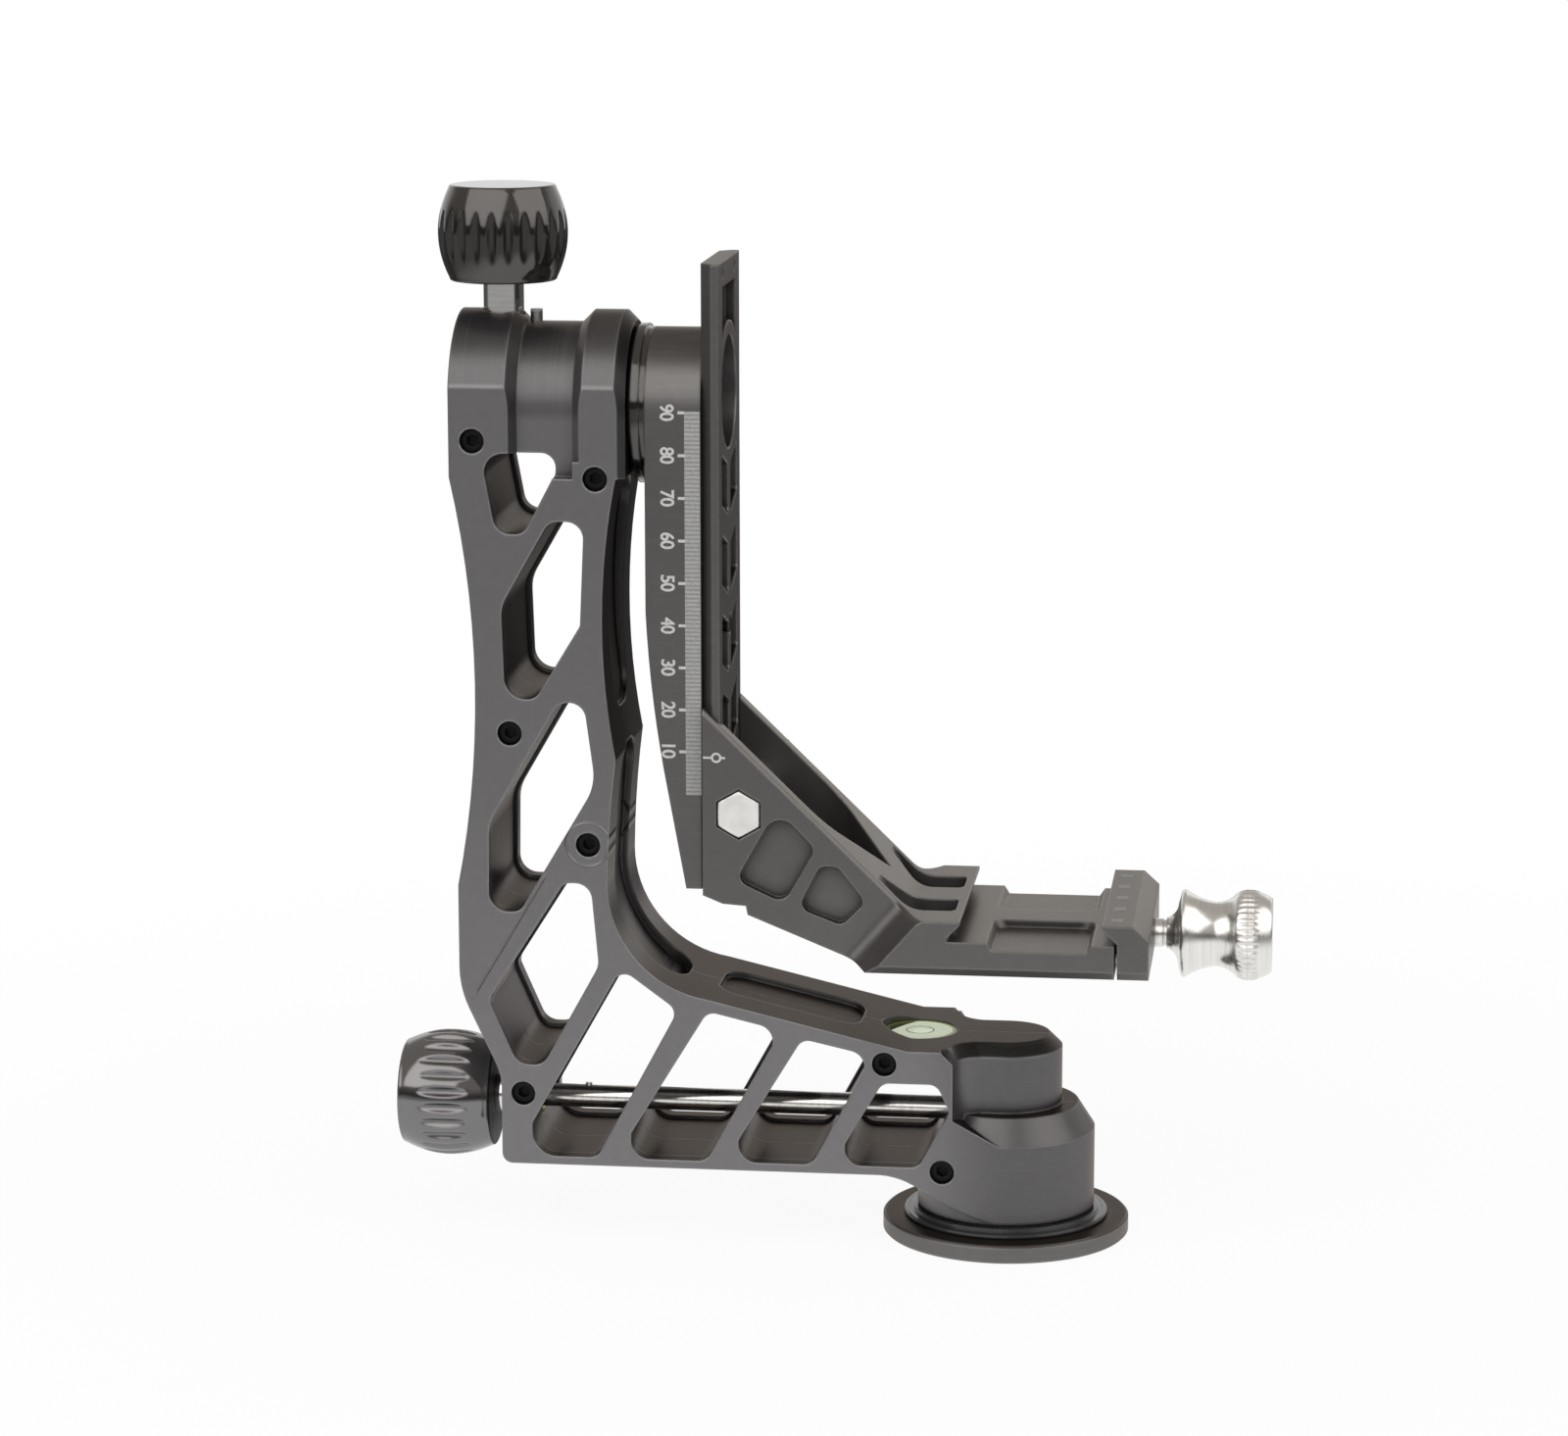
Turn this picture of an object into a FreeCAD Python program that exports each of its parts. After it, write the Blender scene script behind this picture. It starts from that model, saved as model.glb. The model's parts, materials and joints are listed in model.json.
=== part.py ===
import FreeCAD, Part
import math
import os
from FreeCAD import Vector

# Gimbal tripod head, millimetres, +Z up.  The origin lies on the pan axis at
# the bottom of the base disc.  The L-shaped frame reaches towards -X, the
# tilt axis runs along X, and the camera platform lies towards +X.

# ---- clearances ----
FIT = 0.05                  # running fit on a radius
SEAT = 0.02                 # a part sitting in its seat, on a radius
FACE_GAP = 0.15             # sliding faces of the dovetail
LOOSE = 0.3                 # parts that pass each other freely

# ---- base and pan bearing ----
DISC_R = 29.5
DISC_T = 4.3
DISC_EDGE = 0.5
THREAD_R = 3.97             # 3/8-16 UNC tapping drill
THREAD_DEPTH = 11.0
INSERT_R = 8.0
INSERT_T = 12.0
RING_R = 24.4
RING_STEP_R = 22.3
RING_LOW_T = 1.1
RING_TOP_T = 0.9
FLANGE_R = 18.8
FLANGE_T = 3.2
THRUST_T = 1.0
LOWER_BEARING_OUTER = 16.0
LOWER_BEARING_INNER = 10.0
LOWER_BEARING_W = 6.0
DRUM_R = 8.0                # brake drum of the spindle
UPPER_BEARING_OUTER = 10.0
UPPER_BEARING_INNER = 6.0
UPPER_BEARING_W = 6.0
UPPER_BEARING_TOP = 42.6
NUT_R = 8.2
NUT_T = 3.2
NUT_THREAD_R = 5.0
BASE_SCREW_CIRCLE = 14.0
BASE_SCREW_R = 2.0
BASE_SCREW_HEAD_R = 3.8
BASE_SCREW_COUNT = 3

# ---- frame ----
TILT_Z = 198.9              # height of the tilt axis
FRAME_HALF = 21.2           # half depth of the frame
CHEEK_R = 21.9              # round ends of the cheeks, flattened at the frame's faces
SEAM = 0.0                  # the two halves meet here
LIP_T = 4.0                 # lip of a window before it widens
POCKET_GROW = 0.8           # how much a window widens behind its lip
FRAME_LEFT = -129.7
WAIST_X = -124.3
WAIST_Z = 140.0
HEEL_X = -128.9
HEEL_TOP_Z = 86.0
HEEL_BOTTOM_Z = 60.9
FOOT_X = -119.1
FOOT_TOP_Z = 40.2
FRAME_BOTTOM = 18.3
ARM_TOP_Z = 48.7            # top of the frame at the pan housing
CHEEK_BASE_Z = 183.5        # below this the cheeks and hub are one plate
LEFT_CHEEK_W = 15.7
HUB_W = 13.4
RIGHT_CHEEK_W = 12.2
CHEEK_CHAMFER = 2.4
CHEEK_LAP = 4.0             # how far the plate runs up into the cheeks
HUB_R = 19.0
GROOVE_HALF = 10.5
GROOVE_DEPTH = 2.0
GROOVE_END_R = 8.0
GROOVE_TOP = (-91.4, 181.0)     # points (x, z) on the upright's edge
BRIDGE_TOP = (-91.5, 127.0)
BRIDGE_BOTTOM = (-91.1, 118.0)
GROOVE_ELBOW = (-86.6, 68.6)
GROOVE_END = (-77.0, 60.9)
INNER_TOP_X = -90.5         # edge of the upright towards the swing arm, then the top of
INNER_WAIST = (-93.9, 151.0)    # the horizontal arm, as points (x, z)
INNER_BULGE = (-90.9, 117.0)
INNER_HOLLOW = (-92.5, 101.0)
INNER_LOW = (-93.1, 87.0)
ELBOW_MIDDLE = (-87.0, 69.8)
ARM_RIDGE = (-70.0, 60.0)
ARM_RIDGE_END_X = -22.0
BELLY = [(-7.0, 8.8), (-13.0, 11.7), (-20.5, 16.0), (-24.6, 17.7)]     # under the pan housing
BELLY_END_X = -30.0
HEEL_CORNER = (-126.7, 56.2)
HEEL_BULGE_X = -128.3
HEEL_TURN_Z = 66.0
FOOT_R = 2.5
FOOT_BEVEL = 2.4

# ---- pan housing ----
HOUSING_BOTTOM = 7.0
LOWER_TIER_TOP = 25.9
SHELF_R = 17.3
SHELF_Z = 32.0
UPPER_TIER_R = 13.3
UPPER_CHAMFER = 3.0
SHOULDER_RUN = 6.0          # hollow curve from the plate's end to the upper tier
SHOULDER_SAG = 2.6
PLATE_END_X = -11.3

# ---- screws that join the halves ----
FRAME_SCREW_R = 1.5
FRAME_SCREW_HEAD_R = 2.75
FRAME_SCREW_HEAD_T = 3.0
FRAME_SCREW_SINK = 4.2      # depth of the counterbore
FRAME_SCREW_REACH = 12.0    # how far the thread reaches past the seam
FRAME_SCREWS = [(-124.2, 192.0), (-95.3, 183.5), (-116.1, 123.0), (-97.7, 96.6),
                (-113.9, 35.6), (-27.5, 45.4), (-13.7, 19.4)]

# ---- bubble level ----
LEVEL_X = -20.9
LEVEL_R = 9.0
LEVEL_FLOOR = 47.0
LEVEL_T = 1.5
LEVEL_STEM_R = 4.0
LEVEL_STEM_BOTTOM = 43.2
LEVEL_RIM = 1.1

# ---- note pocket in the top of the horizontal arm ----
NOTE_X0 = -68.6
NOTE_X1 = -34.6
NOTE_HALF = 10.3
NOTE_DEPTH = 1.4
NOTE_CORNER_R = 5.5

# ---- locks ----
KNOB_R = 15.3
KNOB_END_R = 12.7
KNOB_H = 22.4
KNOB_EDGE = 0.7
FLUTE_COUNT = 24
FLUTE_R = 1.35
FLUTE_FLOOR_R = 14.3
LOCK_ROD_R = 2.8
LOCK_COLLAR_R = 4.75
LOCK_COLLAR_GAP = 1.2       # free travel between the collar and the frame
TILT_COLLAR_SINK = 1.2      # how far the stud's collar stands in the frame
LOCK_BUSH_R = 4.2
LOCK_BUSH_L = 6.3
SHOE_R = 3.6
PAN_LOCK_Z = 29.5
PAN_KNOB_END = -146.5
TILT_LOCK_X = -120.0
TILT_KNOB_TOP = 249.9
SHOE_L = 4.0
ROD_PIN_X = -101.5          # small pin that stands on the long rod
ROD_PIN_R = 0.8
ROD_PIN_OUT = 0.6

# ---- tilt axle ----
AXLE_R = 9.0
AXLE_TIP_R = 6.0
AXLE_TIP_X = -121.9
AXLE_SHOULDER_X = -101.4
AXLE_THREAD_DEPTH = 16.0
TILT_BEARING_OUTER = 13.0
TILT_BEARING_W = 7.4
TILT_BUSH_OUTER = 7.6
TILT_BUSH_W = 6.6
AXLE_RING_R = 10.5
AXLE_RING_T = 1.2
COLLAR_R = 18.8
COLLAR_W = 4.0
COLLAR_GROOVE = 0.8
SET_SCREW_X = -112.2
SET_SCREW_R = 1.45
SET_SCREW_TOP = 220.8
SET_SCREW_L = 6.0

# ---- swing arm and dovetail rail ----
ARM_FACE_X = -84.1          # face of the arm towards the frame
ARM_HALF = 18.0
ARM_BOTTOM = 86.0
ARM_BEND_Z = 152.0
ARM_CURVE = (-82.4, 131.0)  # middle and end of the curve of the arm's back, (x, z)
ARM_KNEE = (-79.0, 109.0)
ARM_TOE_X = -74.8
RAIL_X = -71.0              # back of the rail, on the arm
RAIL_T = 4.4
RAIL_HALF = 18.5
RAIL_BEVEL = 2.6
RAIL_TOP = 233.3
RAIL_BORE_Z = 202.0
RAIL_BORE_R = 13.4
RAIL_HOLE_Z = 230.6
RAIL_HOLE_Y = 10.4
RAIL_HOLE_R = 1.25
RAIL_POCKET_HALF = 11.5
RAIL_POCKET_TOP = 227.4
RAIL_POCKET_WALL = 3.2      # wall between that pocket and the round bore
RAIL_POCKET_DEPTH = 2.6
CHEVRON_TOP = 188.8         # outer top corner of the highest chevron
CHEVRON_PITCH = 18.85
CHEVRON_H = 12.0
CHEVRON_DROP = 4.0          # how much lower it is at the middle of the rail
CHEVRON_COUNT = 5
CHEVRON_OUT = 13.5
CHEVRON_IN = 1.6
ARM_POCKET_DEPTH = 4.0      # how far the upper chevrons go on into the arm
ARM_POCKET_COUNT = 4
AXLE_WASHER_R = 12.5
AXLE_WASHER_T = 2.0
AXLE_SEAT_DEPTH = 3.0       # from the rail's back down to the washer
AXLE_BOLT_HEAD_R = 6.5
AXLE_BOLT_HEAD_T = 5.0
AXLE_BOLT_R = 4.0
AXLE_BOLT_REACH = 14.0
AXLE_BOLT_SOCKET = 6.0
RAIL_SCREW_R = 2.0
RAIL_SCREW_HEAD_R = 3.9
RAIL_SCREW_Z = [213.0, 146.6, 108.8, 89.6]

# ---- carriage ----
BRACKET_HALF = 20.8
PLATFORM_HALF = 29.7
CARRIAGE_TOP = 129.6
CARRIAGE_BACK = -70.5
PLATFORM_BOTTOM = 69.2
PLATFORM_FLOOR = 77.6
PLATFORM_END = 26.7
PLATFORM_CHAMFER = 2.1      # along the lower edges of the platform and the jaw
JAW_TOP = 82.3
BEND_X = -21.8              # where the sloping top would meet the flat jaw top
BEND_R = 8.0
HEEL_RISE = (-59.9, 80.7)   # lower corner of the step in the underside
HEEL_STEP = (-60.3, 82.8)
HEEL_FLAT = (-65.8, 83.2)
HEEL_BACK_Z = 85.1
UNDERSIDE_X = -31.5         # where the underside turns level
FLARE_IN_X = -36.2          # creases of the flare, at the platform's bottom
FLARE_OUT_X = -30.0
FLARE_LEAN = 0.87           # how far a crease leans towards +X for each mm up
FLARE_FILLET = 6.0
LIP_X = -9.2                # edge of the fixed jaw
LIP_LAND = 0.8
LIP_UNDERCUT = 3.2
RIB_T = 4.6
RIB_CHAMFER = 0.8
BACK_WALL_T = 5.0
BACK_WALL_TOP = 99.0
TROUGH_SHOULDER_X = -42.0
TROUGH_SHOULDER_R = 10.0
TROUGH_TIP_X = -28.0
TROUGH_TIP_R = 0.8
TROUGH_FLOOR_BACK = 88.0
TROUGH_FLOOR_TIP = 75.5
RECESS_X0 = -3.0
RECESS_X1 = 21.5
RECESS_DEPTH = 1.9
RECESS_DRAFT = 1.2
RECESS_CORNER_R = 3.0
SPINE_HALF = 5.5
SLOT_Y0 = 6.0
SLOT_Y1 = 18.2
SLOT_START_X = -29.8
SLOT_END_X = -11.1
SLOT_DEPTH = 4.0
SLOT_TIP_W = 3.0
SLOT_END_R = 2.0
SIDE_POCKET_DEPTH = 2.2

# ---- height clamp: captive bolt, gib and lock knob ----
HEIGHT_BOLT_X = -62.0
HEIGHT_BOLT_Z = 104.7
HEX_AF = 9.6
HEX_T = 1.9
HEX_CHAMFER = 0.2           # flat face of the head reaches this far past its flats
HEX_GAP = 0.8
HEIGHT_BOLT_R = 3.0
GIB_HALF_Z = 9.0
GIB_T = 4.0
GIB_END_X = -55.5
HEIGHT_KNOB_R = 7.4
HEIGHT_KNOB_L = 12.0
HEIGHT_KNOB_FLUTES = 10
HEIGHT_KNOB_FLUTE_R = 1.2

# ---- moving jaw and its knob ----
JAW_X0 = 27.4
JAW_X1 = 34.7
JAW_LIP_X = 23.9
JAW_CHAMFER_X = 31.1
JAW_CHAMFER_Z = 79.0
CLAMP_Z = 74.1
CLAMP_SCREW_R = 2.5
CLAMP_SCREW_X0 = 9.0
CLAMP_COLLAR_R = 3.4
CLAMP_COLLAR_X1 = 37.0
CLAMP_NECK_R = 3.1
CLAMP_KNOB_X0 = 37.8
CLAMP_KNOB_X1 = 62.7
CLAMP_BORE_L = 9.8
CLAMP_FACE_R = 3.6
CLAMP_CONE_L = 2.7          # from the knob's inner face to the flange's back
CLAMP_CONE_R = 7.2
CLAMP_FLANGE_AT = 4.3
CLAMP_FLANGE_R = 10.5
CLAMP_WAIST_AT = 11.6       # from the knob's inner face to its waist
CLAMP_WAIST_R = 7.6
CLAMP_SHOULDER_X = 54.2
CLAMP_RIM_X0 = 56.4
CLAMP_RIM_X1 = 58.4
CLAMP_RIM_R = 10.7
CLAMP_END_R = 8.7
KNURL_X0 = 54.9
KNURL_X1 = 59.5
KNURL_COUNT = 40
KNURL_R = 0.42
PIN_R = 1.5
PIN_Y = 20.0
PIN_Z = 72.9
PIN_X0 = 12.0
CLIP_R = 4.2
CLIP_T = 1.0
CLIP_IN = 0.4               # how deep the clip sits behind the jaw's inner face

# ---- places worked out from the sizes above ----
LEFT_CHEEK_END = FRAME_LEFT + LEFT_CHEEK_W
HUB_END = LEFT_CHEEK_END + HUB_W
RIGHT_CHEEK_END = HUB_END + RIGHT_CHEEK_W
COLLAR_X = ARM_FACE_X - COLLAR_W
RAIL_FACE_X = RAIL_X + RAIL_T
FLANGE_TOP = DISC_T + FLANGE_T
THRUST_TOP = FLANGE_TOP + THRUST_T
LOWER_BEARING_Z = THRUST_TOP + LOOSE
LOWER_BEARING_TOP = LOWER_BEARING_Z + LOWER_BEARING_W
UPPER_BEARING_Z = UPPER_BEARING_TOP - UPPER_BEARING_W
SPINDLE_TOP = UPPER_BEARING_TOP + NUT_T
CHANNEL_X = RAIL_FACE_X + FACE_GAP
CHANNEL_HALF = RAIL_HALF + FACE_GAP
CHEEK_TOP = TILT_Z + CHEEK_R
CHEEK_FLAT_CHAMFER = CHEEK_CHAMFER - (CHEEK_R - FRAME_HALF)
TILT_COLLAR_Z = CHEEK_TOP - TILT_COLLAR_SINK
TILT_BUSH_TOP = TILT_COLLAR_Z - LOCK_COLLAR_GAP - 0.2
TILT_KNOB_Z = TILT_KNOB_TOP - KNOB_H
PAN_KNOB_X = PAN_KNOB_END + KNOB_H
RIGHT_BEARING_X = HUB_END + 2.0
SHOE_TOP_Z = TILT_Z + AXLE_TIP_R + SHOE_L
PAN_SHOE_X = -DRUM_R - SHOE_L

# Window outlines in X and Z, each point with the radius of its corner.
WINDOWS = [
    [(-122.3, 189.2, 4.5), (-104.6, 189.2, 3.5), (-104.9, 184.2, 1.5), (-112.2, 170.3, 3.5),
     (-118.8, 170.3, 4.0)],
    [(-106.2, 173.4, 3.5), (-98.0, 173.4, 4.0), (-99.1, 148.9, 1.5), (-109.9, 131.2, 3.5),
     (-117.1, 131.2, 5.0), (-117.8, 153.2, 9.0)],
    [(-104.4, 130.6, 4.0), (-98.4, 130.6, 4.0), (-95.8, 111.0, 12.0), (-114.2, 80.0, 3.0),
     (-121.6, 80.0, 4.5), (-121.3, 101.3, 10.0)],
    [(-103.6, 87.3, 3.0), (-97.2, 87.3, 4.0), (-95.4, 67.4, 5.0), (-109.0, 42.7, 3.8),
     (-115.2, 42.7, 4.3), (-122.0, 58.2, 3.0)],
    [(-90.1, 66.9, 3.0), (-76.6, 57.0, 3.0), (-96.2, 20.3, 3.0), (-111.8, 20.3, 6.0),
     (-111.8, 28.3, 2.0)],
    [(-69.4, 57.0, 3.0), (-51.9, 52.9, 4.0), (-69.9, 20.3, 3.5), (-88.0, 20.3, 4.5),
     (-88.0, 26.5, 1.5)],
    [(-46.9, 51.0, 3.0), (-30.1, 47.3, 4.0), (-44.7, 20.3, 3.5), (-62.2, 20.3, 4.5),
     (-62.2, 25.7, 1.5)],
    [(-27.9, 40.8, 3.0), (-15.0, 40.8, 3.0), (-11.9, 34.0, 2.0), (-19.4, 20.4, 3.0),
     (-36.8, 20.4, 4.0), (-36.8, 25.5, 1.5)],
]


# ---------------------------------------------------------------- helpers

def box(x0, x1, y0, y1, z0, z1):
    return Part.makeBox(x1 - x0, y1 - y0, z1 - z0, Vector(x0, y0, z0))


def cyl_x(radius, x0, x1, y, z):
    return Part.makeCylinder(radius, x1 - x0, Vector(x0, y, z), Vector(1, 0, 0))


def cyl_y(radius, y0, y1, x, z):
    return Part.makeCylinder(radius, y1 - y0, Vector(x, y0, z), Vector(0, 1, 0))


def cyl_z(radius, z0, z1, x=0.0, y=0.0):
    return Part.makeCylinder(radius, z1 - z0, Vector(x, y, z0), Vector(0, 0, 1))


def turned_z(profile, x=0.0, y=0.0):
    """Solid of revolution about a vertical axis from points (radius, height)."""
    points = [Vector(r, 0, h) for r, h in profile]
    face = Part.Face(Part.makePolygon(points + points[:1]))
    solid = face.revolve(Vector(0, 0, 0), Vector(0, 0, 1), 360)
    solid.translate(Vector(x, y, 0))
    return solid


def turned_x(profile, y, z):
    """Solid of revolution about an axis along X from points (radius, x)."""
    points = [Vector(x, 0, r) for r, x in profile]
    face = Part.Face(Part.makePolygon(points + points[:1]))
    solid = face.revolve(Vector(0, 0, 0), Vector(1, 0, 0), 360)
    solid.translate(Vector(0, y, z))
    return solid


def corner_cuts(points):
    """For each corner (a, b, radius) the two tangent points and the arc's middle."""
    cuts = []
    count = len(points)
    for i in range(count):
        before = Vector(points[i - 1][0], 0, points[i - 1][1])
        here = Vector(points[i][0], 0, points[i][1])
        after = Vector(points[(i + 1) % count][0], 0, points[(i + 1) % count][1])
        radius = points[i][2]
        if radius == 0:
            cuts.append((here, None, here))
            continue
        back = (before - here).normalize()
        ahead = (after - here).normalize()
        half_angle = back.getAngle(ahead) / 2
        reach = radius / math.tan(half_angle)
        bisector = (back + ahead).normalize()
        centre = here + bisector * (radius / math.sin(half_angle))
        cuts.append((here + back * reach, centre - bisector * radius, here + ahead * reach))
    return cuts


def rounded_wire(points, y):
    """Closed wire in the XZ plane at y, from corners (x, z, radius)."""
    cuts = corner_cuts(points)
    shift = Vector(0, y, 0)
    edges = []
    for i, (start, middle, end) in enumerate(cuts):
        if middle is not None:
            edges.append(Part.Arc(start + shift, middle + shift, end + shift).toShape())
        following = cuts[(i + 1) % len(cuts)][0]
        if (following - end).Length > 1e-6:
            edges.append(Part.LineSegment(end + shift, following + shift).toShape())
    return Part.Wire(edges)


def slab(points, y0, y1):
    """Plate between y0 and y1 with an outline of corners (x, z, radius)."""
    return Part.Face(rounded_wire(points, y0)).extrude(Vector(0, y1 - y0, 0))


def plan_prism(points, z0, z1):
    """Upright prism over a polygon of (x, y)."""
    corners = [Vector(x, y, z0) for x, y in points]
    return Part.Face(Part.makePolygon(corners + corners[:1])).extrude(Vector(0, 0, z1 - z0))


def plan_slab(points, z0, z1, lean=0.0):
    """Prism over an outline of (x, y, radius); lean is how far it shifts in X per mm up."""
    wire = rounded_wire(points, 0)
    wire.rotate(Vector(0, 0, 0), Vector(1, 0, 0), -90)
    wire.translate(Vector(0, 0, z0))
    return Part.Face(wire).extrude(Vector(lean * (z1 - z0), 0, z1 - z0))


def hexagon_y(across_flats, y0, y1, x, z):
    """Hexagonal prism along Y with its points up and down."""
    radius = across_flats / math.sqrt(3)
    corners = []
    for i in range(6):
        angle = math.radians(60 * i + 30 + 60)
        corners.append(Vector(x + radius * math.cos(angle), y0, z + radius * math.sin(angle)))
    return Part.Face(Part.makePolygon(corners + corners[:1])).extrude(Vector(0, y1 - y0, 0))


def fused(shapes):
    """One solid from several that touch or overlap."""
    return shapes[0].fuse(shapes[1:]).removeSplitter()


def cut_all(solid, tools):
    return solid.cut(Part.makeCompound(tools)) if len(tools) == 1 else solid.cut(tools)


def mirrored_y(shape):
    return shape.mirror(Vector(0, 0, 0), Vector(0, 1, 0))


def write(name, shape):
    """Writes one node; a group of separate solids stays a compound."""
    solids = shape.Solids
    for solid in solids:
        if not solid.isValid() or solid.Volume <= 0:
            raise ValueError(name + " is not a valid solid")
    body = solids[0] if len(solids) == 1 else Part.makeCompound(solids)
    body.exportStep(os.path.join("parts", name + ".step"))
    print("%-24s %2d solid(s) %10.1f mm3" % (name, len(solids), sum(s.Volume for s in solids)))


# ---------------------------------------------------------------- base

def base_disc():
    disc = turned_z([(INSERT_R + SEAT, 0), (DISC_R - DISC_EDGE, 0), (DISC_R, DISC_EDGE),
                     (DISC_R, DISC_T - DISC_EDGE), (DISC_R - DISC_EDGE, DISC_T),
                     (INSERT_R + SEAT, DISC_T)])
    holes = []
    for x, y in base_screw_places():
        holes.append(cyl_z(BASE_SCREW_R + FIT, -1, DISC_T + 1, x, y))
        holes.append(base_screw_head(x, y, SEAT))
    return cut_all(disc, holes)


def base_screw_places():
    places = []
    for i in range(BASE_SCREW_COUNT):
        angle = 2 * math.pi * i / BASE_SCREW_COUNT
        places.append((BASE_SCREW_CIRCLE * math.cos(angle), BASE_SCREW_CIRCLE * math.sin(angle)))
    return places


def base_screw_head(x, y, grow):
    """Countersunk head whose flat lies flush in the bottom of the disc."""
    cone_h = BASE_SCREW_HEAD_R - BASE_SCREW_R
    top_r = BASE_SCREW_R + grow
    head_r = BASE_SCREW_HEAD_R + grow
    return Part.makeCone(head_r, top_r, cone_h, Vector(x, y, 0), Vector(0, 0, 1))


def base_screws():
    screws = []
    for x, y in base_screw_places():
        shank = cyl_z(BASE_SCREW_R, 0, FLANGE_TOP - 0.4, x, y)
        socket = hexagon_socket(x, y, 1.2, 1.2)
        screws.append(fused([shank, base_screw_head(x, y, 0)]).cut(socket))
    return Part.makeCompound(screws)


def hexagon_socket(x, y, radius, depth):
    corners = [Vector(x + radius * math.cos(math.radians(60 * i)),
                      y + radius * math.sin(math.radians(60 * i)), -0.1) for i in range(6)]
    return Part.Face(Part.makePolygon(corners + corners[:1])).extrude(Vector(0, 0, depth + 0.1))


def thread_insert():
    body = cyl_z(INSERT_R, 0, INSERT_T)
    return body.cut(cyl_z(THREAD_R, -1, THREAD_DEPTH))


def dust_ring():
    z1 = DISC_T + RING_LOW_T
    z2 = z1 + RING_TOP_T
    inner = FLANGE_R + FIT
    return turned_z([(inner, DISC_T), (RING_R - 0.3, DISC_T), (RING_R, DISC_T + 0.3),
                     (RING_R, z1 - 0.3), (RING_R - 0.3, z1), (RING_STEP_R, z1),
                     (RING_STEP_R, z2 - 0.2), (RING_STEP_R - 0.2, z2), (inner, z2)])


def pan_spindle():
    body = turned_z([(0, DISC_T), (FLANGE_R, DISC_T), (FLANGE_R, FLANGE_TOP),
                     (LOWER_BEARING_INNER, FLANGE_TOP), (LOWER_BEARING_INNER, LOWER_BEARING_TOP + 1),
                     (DRUM_R, LOWER_BEARING_TOP + 3), (DRUM_R, UPPER_BEARING_Z - 1),
                     (UPPER_BEARING_INNER, UPPER_BEARING_Z), (UPPER_BEARING_INNER, UPPER_BEARING_TOP),
                     (NUT_THREAD_R, UPPER_BEARING_TOP), (NUT_THREAD_R, SPINDLE_TOP), (0, SPINDLE_TOP)])
    tools = [cyl_z(INSERT_R + SEAT, DISC_T - 1, INSERT_T + LOOSE)]
    for x, y in base_screw_places():
        tools.append(cyl_z(BASE_SCREW_R + SEAT, DISC_T - 1, FLANGE_TOP - 0.2, x, y))
    return cut_all(body, tools)


def ring_z(outer, inner, z0, z1):
    return turned_z([(inner, z0), (outer, z0), (outer, z1), (inner, z1)])


def pan_thrust_washer():
    return ring_z(FLANGE_R - 0.6, LOWER_BEARING_INNER + LOOSE, FLANGE_TOP, THRUST_TOP)


def pan_bearing_lower():
    return ring_z(LOWER_BEARING_OUTER, LOWER_BEARING_INNER + FIT, LOWER_BEARING_Z, LOWER_BEARING_TOP)


def pan_bearing_upper():
    return ring_z(UPPER_BEARING_OUTER, UPPER_BEARING_INNER + FIT, UPPER_BEARING_Z, UPPER_BEARING_TOP - FIT)


def pan_retaining_nut():
    ring = ring_z(NUT_R, NUT_THREAD_R + SEAT, UPPER_BEARING_TOP, SPINDLE_TOP)
    slots = [box(NUT_R - 1.2, NUT_R + 1, -1, 1, UPPER_BEARING_TOP + 1, SPINDLE_TOP + 1)]
    for i in range(1, 4):
        turned = slots[0].copy()
        turned.rotate(Vector(0, 0, 0), Vector(0, 0, 1), 90 * i)
        slots.append(turned)
    return cut_all(ring, slots)


# ---------------------------------------------------------------- frame

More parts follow.
